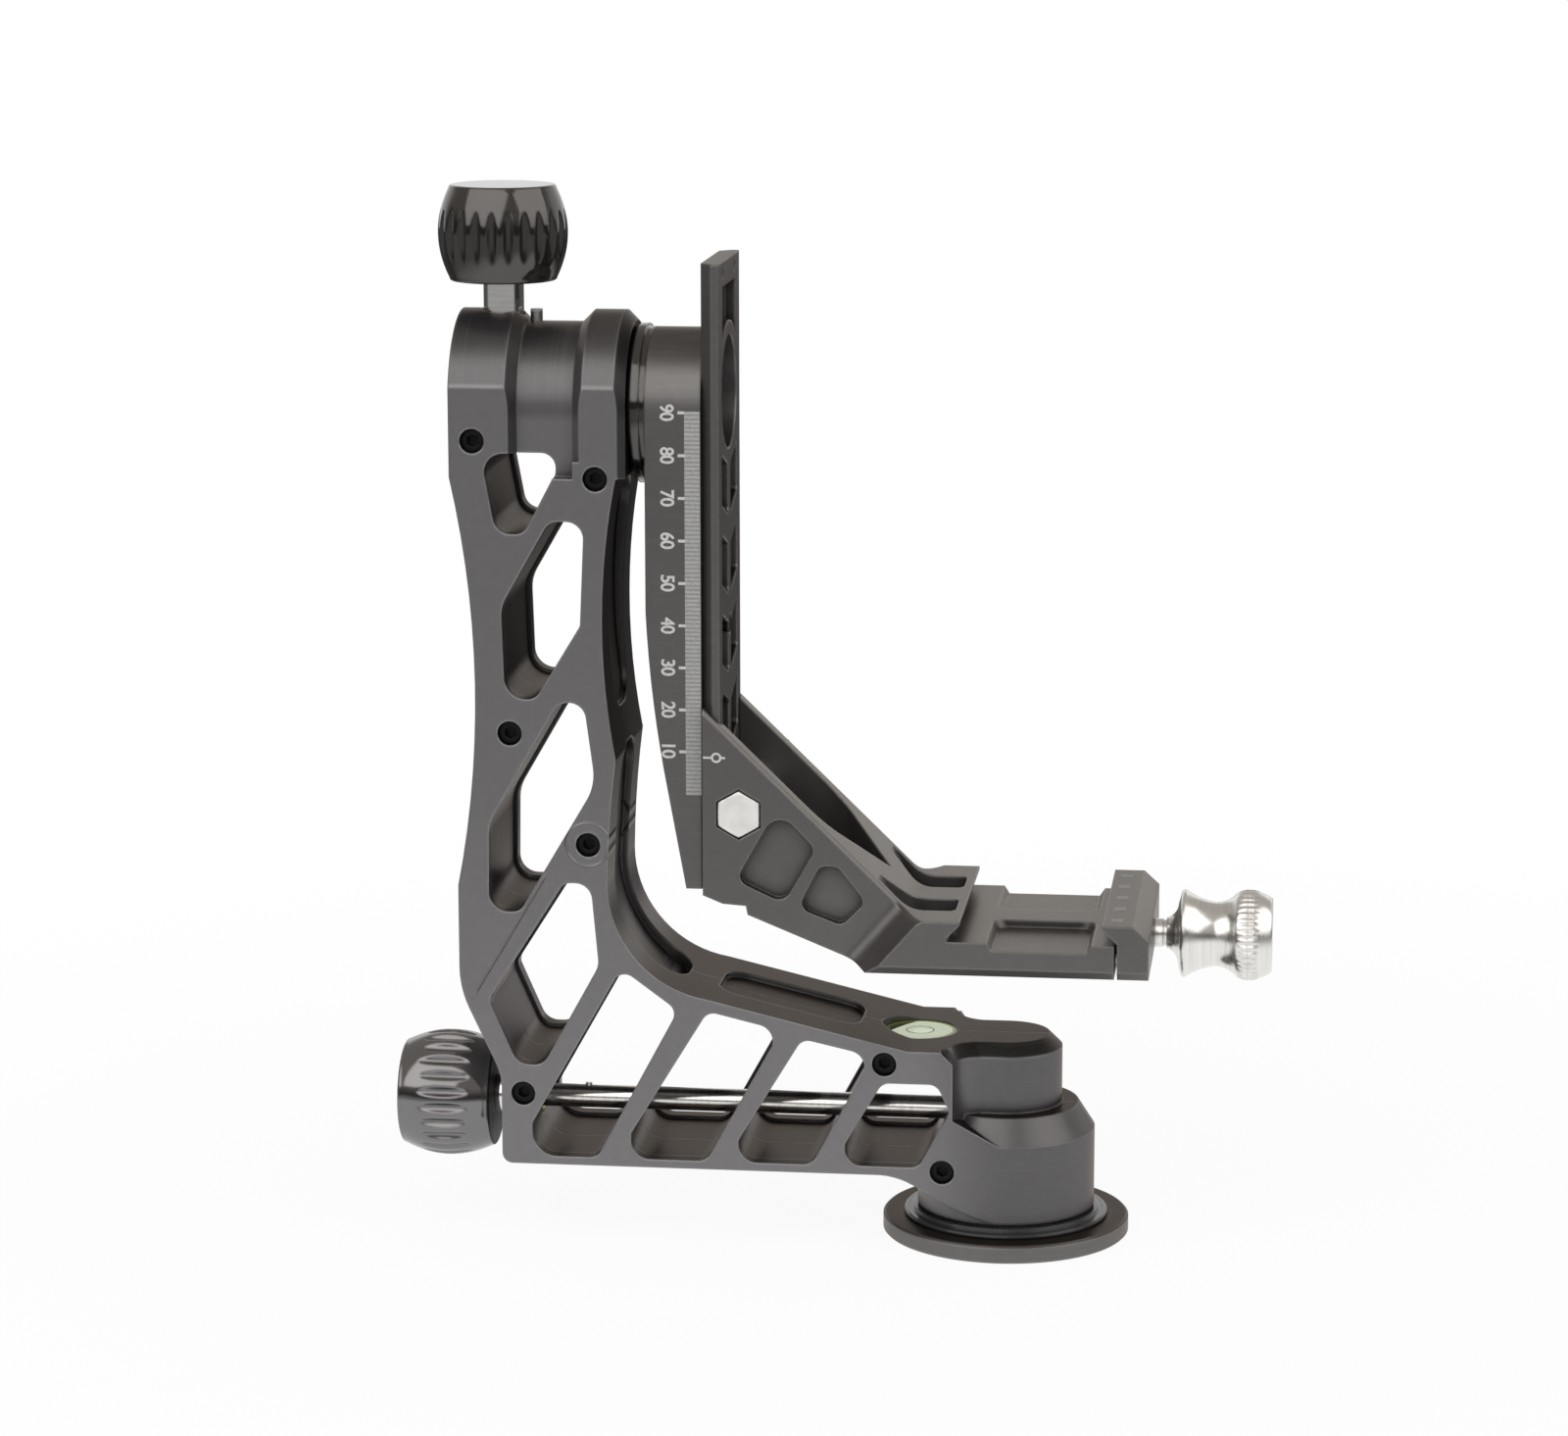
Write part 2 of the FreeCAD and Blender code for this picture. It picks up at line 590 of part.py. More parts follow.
def frame_outline_wire(y):
    """Outline of the frame plate, clockwise from the left cheek's foot."""
    def at(x, z):
        return Vector(x, y, z)

    def line(start, end):
        return Part.LineSegment(at(*start), at(*end)).toShape()

    def arc(start, middle, end):
        return Part.Arc(at(*start), at(*middle), at(*end)).toShape()

    left_foot = (FRAME_LEFT, CHEEK_BASE_Z)
    left_top = (FRAME_LEFT, CHEEK_BASE_Z + CHEEK_LAP)
    right_top = (RIGHT_CHEEK_END - CHEEK_FLAT_CHAMFER, CHEEK_BASE_Z + CHEEK_LAP)
    inner_top = (INNER_TOP_X, CHEEK_BASE_Z)
    ridge_end = (ARM_RIDGE_END_X, ARM_TOP_Z)
    plate_top = (PLATE_END_X - UPPER_CHAMFER, ARM_TOP_Z)
    plate_side = (PLATE_END_X, ARM_TOP_Z - UPPER_CHAMFER)
    plate_shelf = (PLATE_END_X, SHELF_Z)
    core_top = (0, LOWER_TIER_TOP)
    core_foot = (0, HOUSING_BOTTOM)
    belly_end = (BELLY_END_X, FRAME_BOTTOM)
    foot_low = (FOOT_X + FOOT_R, FRAME_BOTTOM)
    foot_turn = FOOT_R * (1 - math.sqrt(0.5))
    foot_side = (FOOT_X, FRAME_BOTTOM + FOOT_R)
    foot_high = (FOOT_X, FOOT_TOP_Z - FOOT_BEVEL)
    foot_end = (FOOT_X - FOOT_BEVEL / 2, FOOT_TOP_Z + FOOT_BEVEL)
    heel_low = (HEEL_X, HEEL_TURN_Z)
    heel_top = (HEEL_X, HEEL_TOP_Z)
    edges = [
        line(left_foot, left_top),
        line(left_top, right_top),
        line(right_top, inner_top),
        arc(inner_top, INNER_WAIST, INNER_BULGE),
        arc(INNER_BULGE, INNER_HOLLOW, INNER_LOW),
        arc(INNER_LOW, ELBOW_MIDDLE, ARM_RIDGE),
        line(ARM_RIDGE, ridge_end),
        line(ridge_end, plate_top),
        line(plate_top, plate_side),
        line(plate_side, plate_shelf),
        line(plate_shelf, core_top),
        line(core_top, core_foot),
        arc(core_foot, BELLY[0], BELLY[1]),
        line(BELLY[1], BELLY[2]),
        arc(BELLY[2], BELLY[3], belly_end),
        line(belly_end, foot_low),
        arc(foot_low, (FOOT_X + foot_turn, FRAME_BOTTOM + foot_turn), foot_side),
        line(foot_side, foot_high),
        arc(foot_high, (FOOT_X - 0.15 * FOOT_BEVEL, FOOT_TOP_Z), foot_end),
        line(foot_end, HEEL_CORNER),
        arc(HEEL_CORNER, (HEEL_BULGE_X, HEEL_BOTTOM_Z), heel_low),
        line(heel_low, heel_top),
        arc(heel_top, (WAIST_X, WAIST_Z), left_foot),
    ]
    return Part.Wire(Part.__sortEdges__(edges))


def frame_plate():
    face = Part.Face(frame_outline_wire(-FRAME_HALF))
    return face.extrude(Vector(0, 2 * FRAME_HALF, 0))


def cheek(x0, x1, chamfer_left, chamfer_right):
    """Upright cheek: straight sides below the tilt axis, round above it, flat at the frame's faces."""
    half = CHEEK_R
    over = half + 1
    lap_z = CHEEK_BASE_Z + CHEEK_LAP
    foot = box(x0, x1, -FRAME_HALF, FRAME_HALF, CHEEK_BASE_Z, TILT_Z)
    c0 = CHEEK_CHAMFER if chamfer_left else 0.0
    c1 = CHEEK_CHAMFER if chamfer_right else 0.0
    profile = [(0, x0), (half - c0, x0)]
    if c0:
        profile.append((half, x0 + c0))
    profile.append((half, x1 - c1))
    profile += [(half - c1, x1), (0, x1)]
    upper = turned_x(profile, 0, TILT_Z)
    upper = upper.common(box(x0 - 1, x1 + 1, -FRAME_HALF, FRAME_HALF, TILT_Z, TILT_Z + over))
    corners = []
    for side in (-1, 1):
        if c0:
            corners.append(plan_prism([(x0 - 1, side * (half - c0 - 1)), (x0 - 1, side * over),
                                       (x0 + c0 + 1, side * over)], lap_z, TILT_Z))
        if c1:
            corners.append(plan_prism([(x1 + 1, side * (half - c1 - 1)), (x1 + 1, side * over),
                                       (x1 - c1 - 1, side * over)], CHEEK_BASE_Z, TILT_Z))
    if corners:
        foot = cut_all(foot, corners)
    return fused([foot, upper])


def hub():
    foot = box(LEFT_CHEEK_END, HUB_END, -HUB_R, HUB_R, CHEEK_BASE_Z, TILT_Z)
    return fused([foot, cyl_x(HUB_R, LEFT_CHEEK_END, HUB_END, 0, TILT_Z)])


def hub_relief():
    """Space in front of and behind the hub, where the plate steps back."""
    top = CHEEK_BASE_Z + CHEEK_LAP + 1
    front = box(LEFT_CHEEK_END, HUB_END, -FRAME_HALF - 1, -HUB_R, CHEEK_BASE_Z, top)
    return [front, mirrored_y(front)]


def pan_housing():
    lower = turned_z([(0, HOUSING_BOTTOM), (FRAME_HALF, HOUSING_BOTTOM), (FRAME_HALF, LOWER_TIER_TOP),
                      (SHELF_R, SHELF_Z), (0, SHELF_Z)])
    cap = [(UPPER_TIER_R, SHELF_Z - 1), (UPPER_TIER_R, ARM_TOP_Z - UPPER_CHAMFER),
           (UPPER_TIER_R - UPPER_CHAMFER, ARM_TOP_Z)]
    upper = turned_z([(0, SHELF_Z - 1)] + cap + [(0, ARM_TOP_Z)])
    return fused([lower, upper, housing_shoulder()])


def housing_shoulder():
    """Fills between the end of the plate and the upper tier with a hollow curve."""
    chamfer_z = ARM_TOP_Z - UPPER_CHAMFER
    foot_z = SHELF_Z - 6
    prism = Part.Face(shoulder_wire(0, foot_z)).extrude(Vector(0, 0, chamfer_z - foot_z))
    bevel = Part.makeLoft([shoulder_wire(0, chamfer_z), shoulder_wire(UPPER_CHAMFER, ARM_TOP_Z)], True, True)
    return fused([prism, bevel])


def shoulder_wire(inset, z):
    """Plan of the shoulder: a hollow arc from the plate's end to the upper tier."""
    x0 = PLATE_END_X - 6
    x1 = PLATE_END_X - 0.4 * inset
    wide = FRAME_HALF - inset
    slim = UPPER_TIER_R - inset
    tier_x = x1 + SHOULDER_RUN
    middle = (x1 + 0.27 * SHOULDER_RUN, slim + SHOULDER_SAG)
    corners = [(tier_x, slim), (0, slim), (0, -slim), (tier_x, -slim)]
    edges = [Part.LineSegment(Vector(*corners[i], z), Vector(*corners[i + 1], z)).toShape() for i in range(3)]
    ends = [(x1, -wide), (x0, -wide), (x0, wide), (x1, wide)]
    edges += [Part.LineSegment(Vector(*ends[i], z), Vector(*ends[i + 1], z)).toShape() for i in range(3)]
    for side in (-1, 1):
        edges.append(Part.Arc(Vector(x1, side * wide, z), Vector(middle[0], side * middle[1], z),
                              Vector(tier_x, side * slim, z)).toShape())
    return Part.Wire(Part.__sortEdges__(edges))


def window_tools():
    tools = []
    for points in WINDOWS:
        tools.append(slab(points, -FRAME_HALF - 2, FRAME_HALF + 2))
        face = Part.Face(rounded_wire(points, -FRAME_HALF + LIP_T))
        wide = face.makeOffset2D(POCKET_GROW)
        tools.append(wide.extrude(Vector(0, 2 * (FRAME_HALF - LIP_T), 0)))
    return tools


def groove_tools():
    """Two long hollows in the inner face of the frame, with a bridge between them."""
    def at(x, z):
        return Vector(x, -GROOVE_HALF, z)

    def sunk(point):
        return at(point[0] - GROOVE_DEPTH, point[1])

    clear_x = ARM_FACE_X
    upper = [Part.Arc(sunk(GROOVE_TOP), sunk(INNER_WAIST), sunk(BRIDGE_TOP)).toShape(),
             Part.LineSegment(sunk(BRIDGE_TOP), at(clear_x, BRIDGE_TOP[1])).toShape(),
             Part.LineSegment(at(clear_x, BRIDGE_TOP[1]), at(clear_x, GROOVE_TOP[1])).toShape(),
             Part.LineSegment(at(clear_x, GROOVE_TOP[1]), sunk(GROOVE_TOP)).toShape()]
    floor_end = at(GROOVE_END[0], GROOVE_END[1] - GROOVE_DEPTH)
    open_end = at(GROOVE_END[0] + 3, GROOVE_END[1] + 11)
    lower = [Part.LineSegment(at(clear_x, BRIDGE_BOTTOM[1]), sunk(BRIDGE_BOTTOM)).toShape(),
             Part.LineSegment(sunk(BRIDGE_BOTTOM), sunk(INNER_LOW)).toShape(),
             Part.Arc(sunk(INNER_LOW), sunk(GROOVE_ELBOW), floor_end).toShape(),
             Part.LineSegment(floor_end, open_end).toShape(),
             Part.LineSegment(open_end, at(clear_x, BRIDGE_BOTTOM[1])).toShape()]
    ends = [BRIDGE_TOP[1], GROOVE_TOP[1], BRIDGE_BOTTOM[1]]
    tools = []
    for edges in (upper, lower):
        tool = Part.Face(Part.Wire(edges)).extrude(Vector(0, 2 * GROOVE_HALF, 0))
        rounded = []
        for edge in tool.Edges:
            flat = edge.BoundBox.YLength < 1e-3 and edge.BoundBox.ZLength < 1e-3
            sloped = (edge.BoundBox.YLength < 1e-3 and abs(edge.BoundBox.ZMin - floor_end.z) < 1e-3
                      and abs(edge.BoundBox.XMin - floor_end.x) < 1e-3)
            if sloped or (flat and min(abs(edge.CenterOfMass.z - z) for z in ends) < 1e-3):
                rounded.append(edge)
        tools.append(tool.makeFillet(GROOVE_END_R, rounded))
    return tools


def ridge_z(x):
    """Height of the sloping top of the horizontal arm."""
    slope = (ARM_TOP_Z - ARM_RIDGE[1]) / (ARM_RIDGE_END_X - ARM_RIDGE[0])
    return ARM_RIDGE[1] + slope * (x - ARM_RIDGE[0])


def note_pocket():
    """Shallow bare pocket in the sloping top of the horizontal arm."""
    z0 = ridge_z(NOTE_X0)
    z1 = ridge_z(NOTE_X1)
    corners = [Vector(NOTE_X0, -NOTE_HALF, z0 - NOTE_DEPTH), Vector(NOTE_X1, -NOTE_HALF, z1 - NOTE_DEPTH),
               Vector(NOTE_X1, -NOTE_HALF, z1 + 5), Vector(NOTE_X0, -NOTE_HALF, z0 + 5)]
    block = Part.Face(Part.makePolygon(corners + corners[:1])).extrude(Vector(0, 2 * NOTE_HALF, 0))
    upright = [edge for edge in block.Edges
               if abs(edge.tangentAt(edge.FirstParameter).z) > 0.9]
    return block.makeFillet(NOTE_CORNER_R, upright)


def bearing_tools():
    """Seats of the pan spindle, its bearings and nut, and of the tilt axle."""
    low = HOUSING_BOTTOM - 2
    flange_r = FLANGE_R + LOOSE
    lower_r = LOWER_BEARING_OUTER + SEAT
    upper_r = UPPER_BEARING_OUTER + SEAT
    throat_r = LOWER_BEARING_INNER + 1.5
    drum_r = DRUM_R + 1
    nut_r = NUT_R + 0.5
    nut_top = SPINDLE_TOP + 0.4
    pan = turned_z([(0, low), (flange_r, low), (flange_r, THRUST_TOP + FIT), (lower_r, THRUST_TOP + FIT),
                    (lower_r, LOWER_BEARING_TOP), (throat_r, LOWER_BEARING_TOP),
                    (throat_r, LOWER_BEARING_TOP + 2), (drum_r, LOWER_BEARING_TOP + 4),
                    (drum_r, UPPER_BEARING_Z), (upper_r, UPPER_BEARING_Z), (upper_r, UPPER_BEARING_TOP),
                    (nut_r, UPPER_BEARING_TOP), (nut_r, nut_top), (0, nut_top)])
    tip_x = AXLE_TIP_X - 0.4
    bush_x = AXLE_TIP_X + TILT_BUSH_W
    bush_r = TILT_BUSH_OUTER + SEAT
    slim_r = AXLE_TIP_R + 0.5
    ring_x = AXLE_SHOULDER_X - AXLE_RING_T - 0.4
    ring_r = AXLE_RING_R + 0.4
    axle_x = AXLE_SHOULDER_X + 0.4
    axle_r = AXLE_R + 0.5
    bearing_r = TILT_BEARING_OUTER + SEAT
    bearing_x = RIGHT_BEARING_X + TILT_BEARING_W
    end_x = RIGHT_CHEEK_END + 1
    tilt = turned_x([(0, tip_x), (bush_r, tip_x), (bush_r, bush_x), (slim_r, bush_x), (slim_r, ring_x),
                     (ring_r, ring_x), (ring_r, axle_x), (axle_r, axle_x), (axle_r, RIGHT_BEARING_X),
                     (bearing_r, RIGHT_BEARING_X), (bearing_r, bearing_x), (axle_r, bearing_x),
                     (axle_r, end_x), (0, end_x)], 0, TILT_Z)
    return [pan, tilt]


def lock_tools():
    """Bores for the two brake shoes, their rods and threaded bushes."""
    pan_bush_x = FOOT_X + 0.3
    return [
        cyl_x(LOCK_ROD_R + LOOSE, FOOT_X - 1, PAN_SHOE_X, 0, PAN_LOCK_Z),
        cyl_x(LOCK_BUSH_R + SEAT, pan_bush_x - 1, pan_bush_x + LOCK_BUSH_L, 0, PAN_LOCK_Z),
        cyl_x(SHOE_R + FIT, PAN_SHOE_X - 1.5, 0, 0, PAN_LOCK_Z),
        cyl_z(LOCK_ROD_R + LOOSE, SHOE_TOP_Z, CHEEK_TOP + 1, TILT_LOCK_X, 0),
        cyl_z(LOCK_BUSH_R + SEAT, TILT_BUSH_TOP - LOCK_BUSH_L, CHEEK_TOP + 1, TILT_LOCK_X, 0),
        cyl_z(LOCK_COLLAR_R + LOOSE, TILT_COLLAR_Z - LOCK_COLLAR_GAP, CHEEK_TOP + 1, TILT_LOCK_X, 0),
        cyl_z(SHOE_R + FIT, TILT_Z, SHOE_TOP_Z + 1.5, TILT_LOCK_X, 0),
    ]


def level_tools():
    return [cyl_z(LEVEL_R + SEAT, LEVEL_FLOOR, ARM_TOP_Z + 6, LEVEL_X, 0),
            cyl_z(LEVEL_STEM_R + SEAT, LEVEL_STEM_BOTTOM, LEVEL_FLOOR + 1, LEVEL_X, 0)]


def screw_tools():
    tools = []
    for x, z in FRAME_SCREWS:
        tools.append(cyl_y(FRAME_SCREW_HEAD_R + 0.15, -FRAME_HALF - 2, -FRAME_HALF + FRAME_SCREW_SINK, x, z))
        tools.append(cyl_y(FRAME_SCREW_R + FIT, -FRAME_HALF, FRAME_SCREW_REACH + 0.5, x, z))
    return tools


def frame_body():
    body = fused([frame_plate(),
                  cheek(FRAME_LEFT, LEFT_CHEEK_END, False, True),
                  hub(),
                  cheek(HUB_END, RIGHT_CHEEK_END, True, True),
                  pan_housing()])
    tools = hub_relief() + window_tools() + groove_tools() + [note_pocket()]
    tools += bearing_tools() + lock_tools() + level_tools() + screw_tools()
    tools.append(cyl_z(SET_SCREW_R + SEAT, SET_SCREW_TOP - SET_SCREW_L, CHEEK_TOP, SET_SCREW_X, 0))
    return cut_all(body, tools)


def frame_half(body, front):
    room = body.BoundBox
    y0, y1 = (room.YMin - 1, SEAM) if front else (SEAM, room.YMax + 1)
    return body.common(box(room.XMin - 1, room.XMax + 1, y0, y1, room.ZMin - 1, room.ZMax + 1))


def frame_screws():
    screws = []
    head_y = -FRAME_HALF + FRAME_SCREW_SINK
    for x, z in FRAME_SCREWS:
        head = cyl_y(FRAME_SCREW_HEAD_R, head_y - FRAME_SCREW_HEAD_T, head_y, x, z)
        shank = cyl_y(FRAME_SCREW_R, head_y - 1, FRAME_SCREW_REACH, x, z)
        socket = hexagon_y(2.5, head_y - FRAME_SCREW_HEAD_T - 1, head_y - FRAME_SCREW_HEAD_T + 1.6, x, z)
        screws.append(fused([head, shank]).cut(socket))
    return Part.makeCompound(screws)


def level_cup():
    top = LEVEL_FLOOR + LEVEL_T
    cup = turned_z([(0, LEVEL_STEM_BOTTOM + 0.1), (LEVEL_STEM_R, LEVEL_STEM_BOTTOM + 0.1),
                    (LEVEL_STEM_R, LEVEL_FLOOR), (LEVEL_R, LEVEL_FLOOR), (LEVEL_R, top),
                    (LEVEL_R - LEVEL_RIM, top), (LEVEL_R - LEVEL_RIM, LEVEL_FLOOR + 0.6),
                    (0, LEVEL_FLOOR + 0.6)])
    cup.translate(Vector(LEVEL_X, 0, 0))
    return cup


def level_fluid():
    return cyl_z(LEVEL_R - LEVEL_RIM - SEAT, LEVEL_FLOOR + 0.6, LEVEL_FLOOR + 1.1, LEVEL_X, 0)


def level_lens():
    return cyl_z(LEVEL_R - LEVEL_RIM - SEAT, LEVEL_FLOOR + 1.1, LEVEL_FLOOR + LEVEL_T, LEVEL_X, 0)


# ---------------------------------------------------------------- locks

def barrel_profile():
    """Radius and height points of a knob, bulging by a circular arc."""
    points = []
    rise = KNOB_R - KNOB_END_R
    half = KNOB_H / 2 - KNOB_EDGE
    steps = 12
    for i in range(steps + 1):
        h = -half + 2 * half * i / steps
        points.append((KNOB_R - rise * (h / half) ** 2, h + KNOB_H / 2))
    return points


def fluted_knob():
    """Knob standing on z = 0 about the Z axis, with long flutes round its waist."""
    side = barrel_profile()
    wire_points = [Vector(r, 0, h) for r, h in side]
    curve = Part.BSplineCurve()
    curve.interpolate(wire_points)
    low = Vector(KNOB_END_R - KNOB_EDGE, 0, 0)
    high = Vector(KNOB_END_R - KNOB_EDGE, 0, KNOB_H)
    edges = [Part.LineSegment(Vector(0, 0, 0), low).toShape(),
             Part.LineSegment(low, wire_points[0]).toShape(),
             curve.toShape(),
             Part.LineSegment(wire_points[-1], high).toShape(),
             Part.LineSegment(high, Vector(0, 0, KNOB_H)).toShape(),
             Part.LineSegment(Vector(0, 0, KNOB_H), Vector(0, 0, 0)).toShape()]
    barrel = Part.Face(Part.Wire(edges)).revolve(Vector(0, 0, 0), Vector(0, 0, 1), 360)
    flutes = []
    for i in range(FLUTE_COUNT):
        angle = 2 * math.pi * i / FLUTE_COUNT
        reach = FLUTE_FLOOR_R + FLUTE_R
        flutes.append(cyl_z(FLUTE_R, 1, KNOB_H - 1, reach * math.cos(angle), reach * math.sin(angle)))
    barrel = cut_all(barrel, flutes)
    return barrel.cut(cyl_z(LOCK_ROD_R + SEAT, -1, KNOB_H / 2))


def tilt_knob():
    knob = fluted_knob()
    knob.translate(Vector(TILT_LOCK_X, 0, TILT_KNOB_Z))
    return knob


def pan_knob():
    knob = fluted_knob()
    knob.rotate(Vector(0, 0, 0), Vector(0, 1, 0), -90)
    knob.translate(Vector(PAN_KNOB_X, 0, PAN_LOCK_Z))
    return knob


def tilt_lock_stud():
    rod = cyl_z(LOCK_ROD_R, SHOE_TOP_Z, TILT_KNOB_Z + KNOB_H / 2 - 0.5, TILT_LOCK_X, 0)
    collar = cyl_z(LOCK_COLLAR_R, TILT_COLLAR_Z, TILT_KNOB_Z, TILT_LOCK_X, 0)
    return fused([rod, collar])


def pan_lock_rod():
    rod = cyl_x(LOCK_ROD_R, PAN_KNOB_X - KNOB_H / 2 + 0.5, PAN_SHOE_X, 0, PAN_LOCK_Z)
    collar = cyl_x(LOCK_COLLAR_R, PAN_KNOB_X, FOOT_X - LOCK_COLLAR_GAP, 0, PAN_LOCK_Z)
    pin = cyl_z(ROD_PIN_R, PAN_LOCK_Z, PAN_LOCK_Z + LOCK_ROD_R + ROD_PIN_OUT, ROD_PIN_X, 0)
    return fused([rod, collar, pin])


def tilt_brake_shoe():
    shoe = cyl_z(SHOE_R, TILT_Z + 3, SHOE_TOP_Z, TILT_LOCK_X, 0)
    return shoe.cut(cyl_x(AXLE_TIP_R + FIT, TILT_LOCK_X - 10, TILT_LOCK_X + 10, 0, TILT_Z))


def pan_brake_shoe():
    shoe = cyl_x(SHOE_R, PAN_SHOE_X, -DRUM_R + 3, 0, PAN_LOCK_Z)
    return shoe.cut(cyl_z(DRUM_R + FIT, PAN_LOCK_Z - 10, PAN_LOCK_Z + 10))


def pan_lock_bush():
    x0 = FOOT_X + 0.3
    bush = cyl_x(LOCK_BUSH_R, x0, x0 + LOCK_BUSH_L, 0, PAN_LOCK_Z)
    return bush.cut(cyl_x(LOCK_ROD_R + FIT, x0 - 1, x0 + LOCK_BUSH_L + 1, 0, PAN_LOCK_Z))


def tilt_lock_bush():
    z1 = TILT_BUSH_TOP
    bush = cyl_z(LOCK_BUSH_R, z1 - LOCK_BUSH_L, z1, TILT_LOCK_X, 0)
    return bush.cut(cyl_z(LOCK_ROD_R + FIT, z1 - LOCK_BUSH_L - 1, z1 + 1, TILT_LOCK_X, 0))


# ---------------------------------------------------------------- tilt axle

def tilt_axle():
    x1 = RAIL_X - AXLE_WASHER_T - AXLE_SEAT_DEPTH
    body = turned_x([(0, AXLE_TIP_X), (AXLE_TIP_R, AXLE_TIP_X), (AXLE_TIP_R, AXLE_SHOULDER_X),
                     (AXLE_R, AXLE_SHOULDER_X), (AXLE_R, x1), (0, x1)], 0, TILT_Z)
    return body.cut(cyl_x(AXLE_BOLT_R + SEAT, x1 - AXLE_THREAD_DEPTH, x1 + 1, 0, TILT_Z))


def axle_retaining_ring():
    x0 = AXLE_SHOULDER_X - AXLE_RING_T
    x1 = AXLE_SHOULDER_X
    inner = AXLE_TIP_R + SEAT
    return turned_x([(inner, x0), (AXLE_RING_R, x0), (AXLE_RING_R, x1), (inner, x1)], 0, TILT_Z)


def tilt_bearing():
    x1 = RIGHT_BEARING_X + TILT_BEARING_W
    return turned_x([(AXLE_R + FIT, RIGHT_BEARING_X), (TILT_BEARING_OUTER, RIGHT_BEARING_X),
                     (TILT_BEARING_OUTER, x1), (AXLE_R + FIT, x1)], 0, TILT_Z)


def tilt_bush():
    x0 = AXLE_TIP_X + 0.1
    x1 = AXLE_TIP_X + TILT_BUSH_W
    bush = turned_x([(AXLE_TIP_R + FIT, x0), (TILT_BUSH_OUTER, x0), (TILT_BUSH_OUTER, x1),
                     (AXLE_TIP_R + FIT, x1)], 0, TILT_Z)
    return bush.cut(cyl_z(SHOE_R + FIT, TILT_Z, TILT_Z + TILT_BUSH_OUTER + 1, TILT_LOCK_X, 0))


def tilt_collar():
    g = COLLAR_GROOVE
    return turned_x([(AXLE_R + FIT, COLLAR_X), (COLLAR_R - 0.8, COLLAR_X), (COLLAR_R, COLLAR_X + 0.8),
                     (COLLAR_R, ARM_FACE_X - 1.4), (COLLAR_R - g, ARM_FACE_X - 1.4),
                     (COLLAR_R - g, ARM_FACE_X), (AXLE_R + FIT, ARM_FACE_X)], 0, TILT_Z)


def axle_washer():
    x0 = RAIL_X - AXLE_WASHER_T - AXLE_SEAT_DEPTH
    x1 = RAIL_X - AXLE_SEAT_DEPTH
    inner = AXLE_BOLT_R + FIT
    return turned_x([(inner, x0), (AXLE_WASHER_R, x0), (AXLE_WASHER_R, x1), (inner, x1)], 0, TILT_Z)


def axle_bolt():
    x0 = RAIL_X - AXLE_SEAT_DEPTH
    x1 = x0 + AXLE_BOLT_HEAD_T
    head = cyl_x(AXLE_BOLT_HEAD_R, x0, x1, 0, TILT_Z)
    shank = cyl_x(AXLE_BOLT_R, x0 - AXLE_WASHER_T - AXLE_BOLT_REACH, x0 + 1, 0, TILT_Z)
    socket = hexagon_x(AXLE_BOLT_SOCKET, x1 - 3.0, x1 + 1, 0, TILT_Z)
    return fused([head, shank]).cut(socket)


def hexagon_x(across_flats, x0, x1, y, z):
    radius = across_flats / math.sqrt(3)
    corners = []
    for i in range(6):
        angle = math.radians(60 * i + 30)
        corners.append(Vector(x0, y + radius * math.cos(angle), z + radius * math.sin(angle)))
    return Part.Face(Part.makePolygon(corners + corners[:1])).extrude(Vector(x1 - x0, 0, 0))


def hub_set_screw():
    return cyl_z(SET_SCREW_R, SET_SCREW_TOP - SET_SCREW_L + 0.1, SET_SCREW_TOP, SET_SCREW_X, 0)


# ---------------------------------------------------------------- swing arm

def chevron_prism(index, x0, x1):
    """One limb of a chevron, on the side of positive Y."""
    top = CHEVRON_TOP - index * CHEVRON_PITCH
    corners = [Vector(x0, CHEVRON_OUT, top), Vector(x0, CHEVRON_OUT, top - CHEVRON_H),
               Vector(x0, CHEVRON_IN, top - CHEVRON_H - CHEVRON_DROP),
               Vector(x0, CHEVRON_IN, top - CHEVRON_DROP)]
    prism = Part.Face(Part.makePolygon(corners + corners[:1])).extrude(Vector(x1 - x0, 0, 0))
    along_x = [edge for edge in prism.Edges if abs(edge.tangentAt(edge.FirstParameter).x) > 0.9]
    return prism.makeFillet(1.5, along_x)


def chevrons(count, x0, x1):
    limbs = [chevron_prism(i, x0, x1) for i in range(count)]
    return limbs + [mirrored_y(limb) for limb in limbs]


def rail_pocket():
    """Blind pocket near the rail's top whose lower edge follows the round bore."""
    x0 = RAIL_FACE_X - RAIL_POCKET_DEPTH
    x1 = RAIL_FACE_X + 1
    block = box(x0, x1, -RAIL_POCKET_HALF, RAIL_POCKET_HALF, RAIL_BORE_Z, RAIL_POCKET_TOP)
    return block.cut(cyl_x(RAIL_BORE_R + RAIL_POCKET_WALL, x0 - 1, x1 + 1, 0, RAIL_BORE_Z))


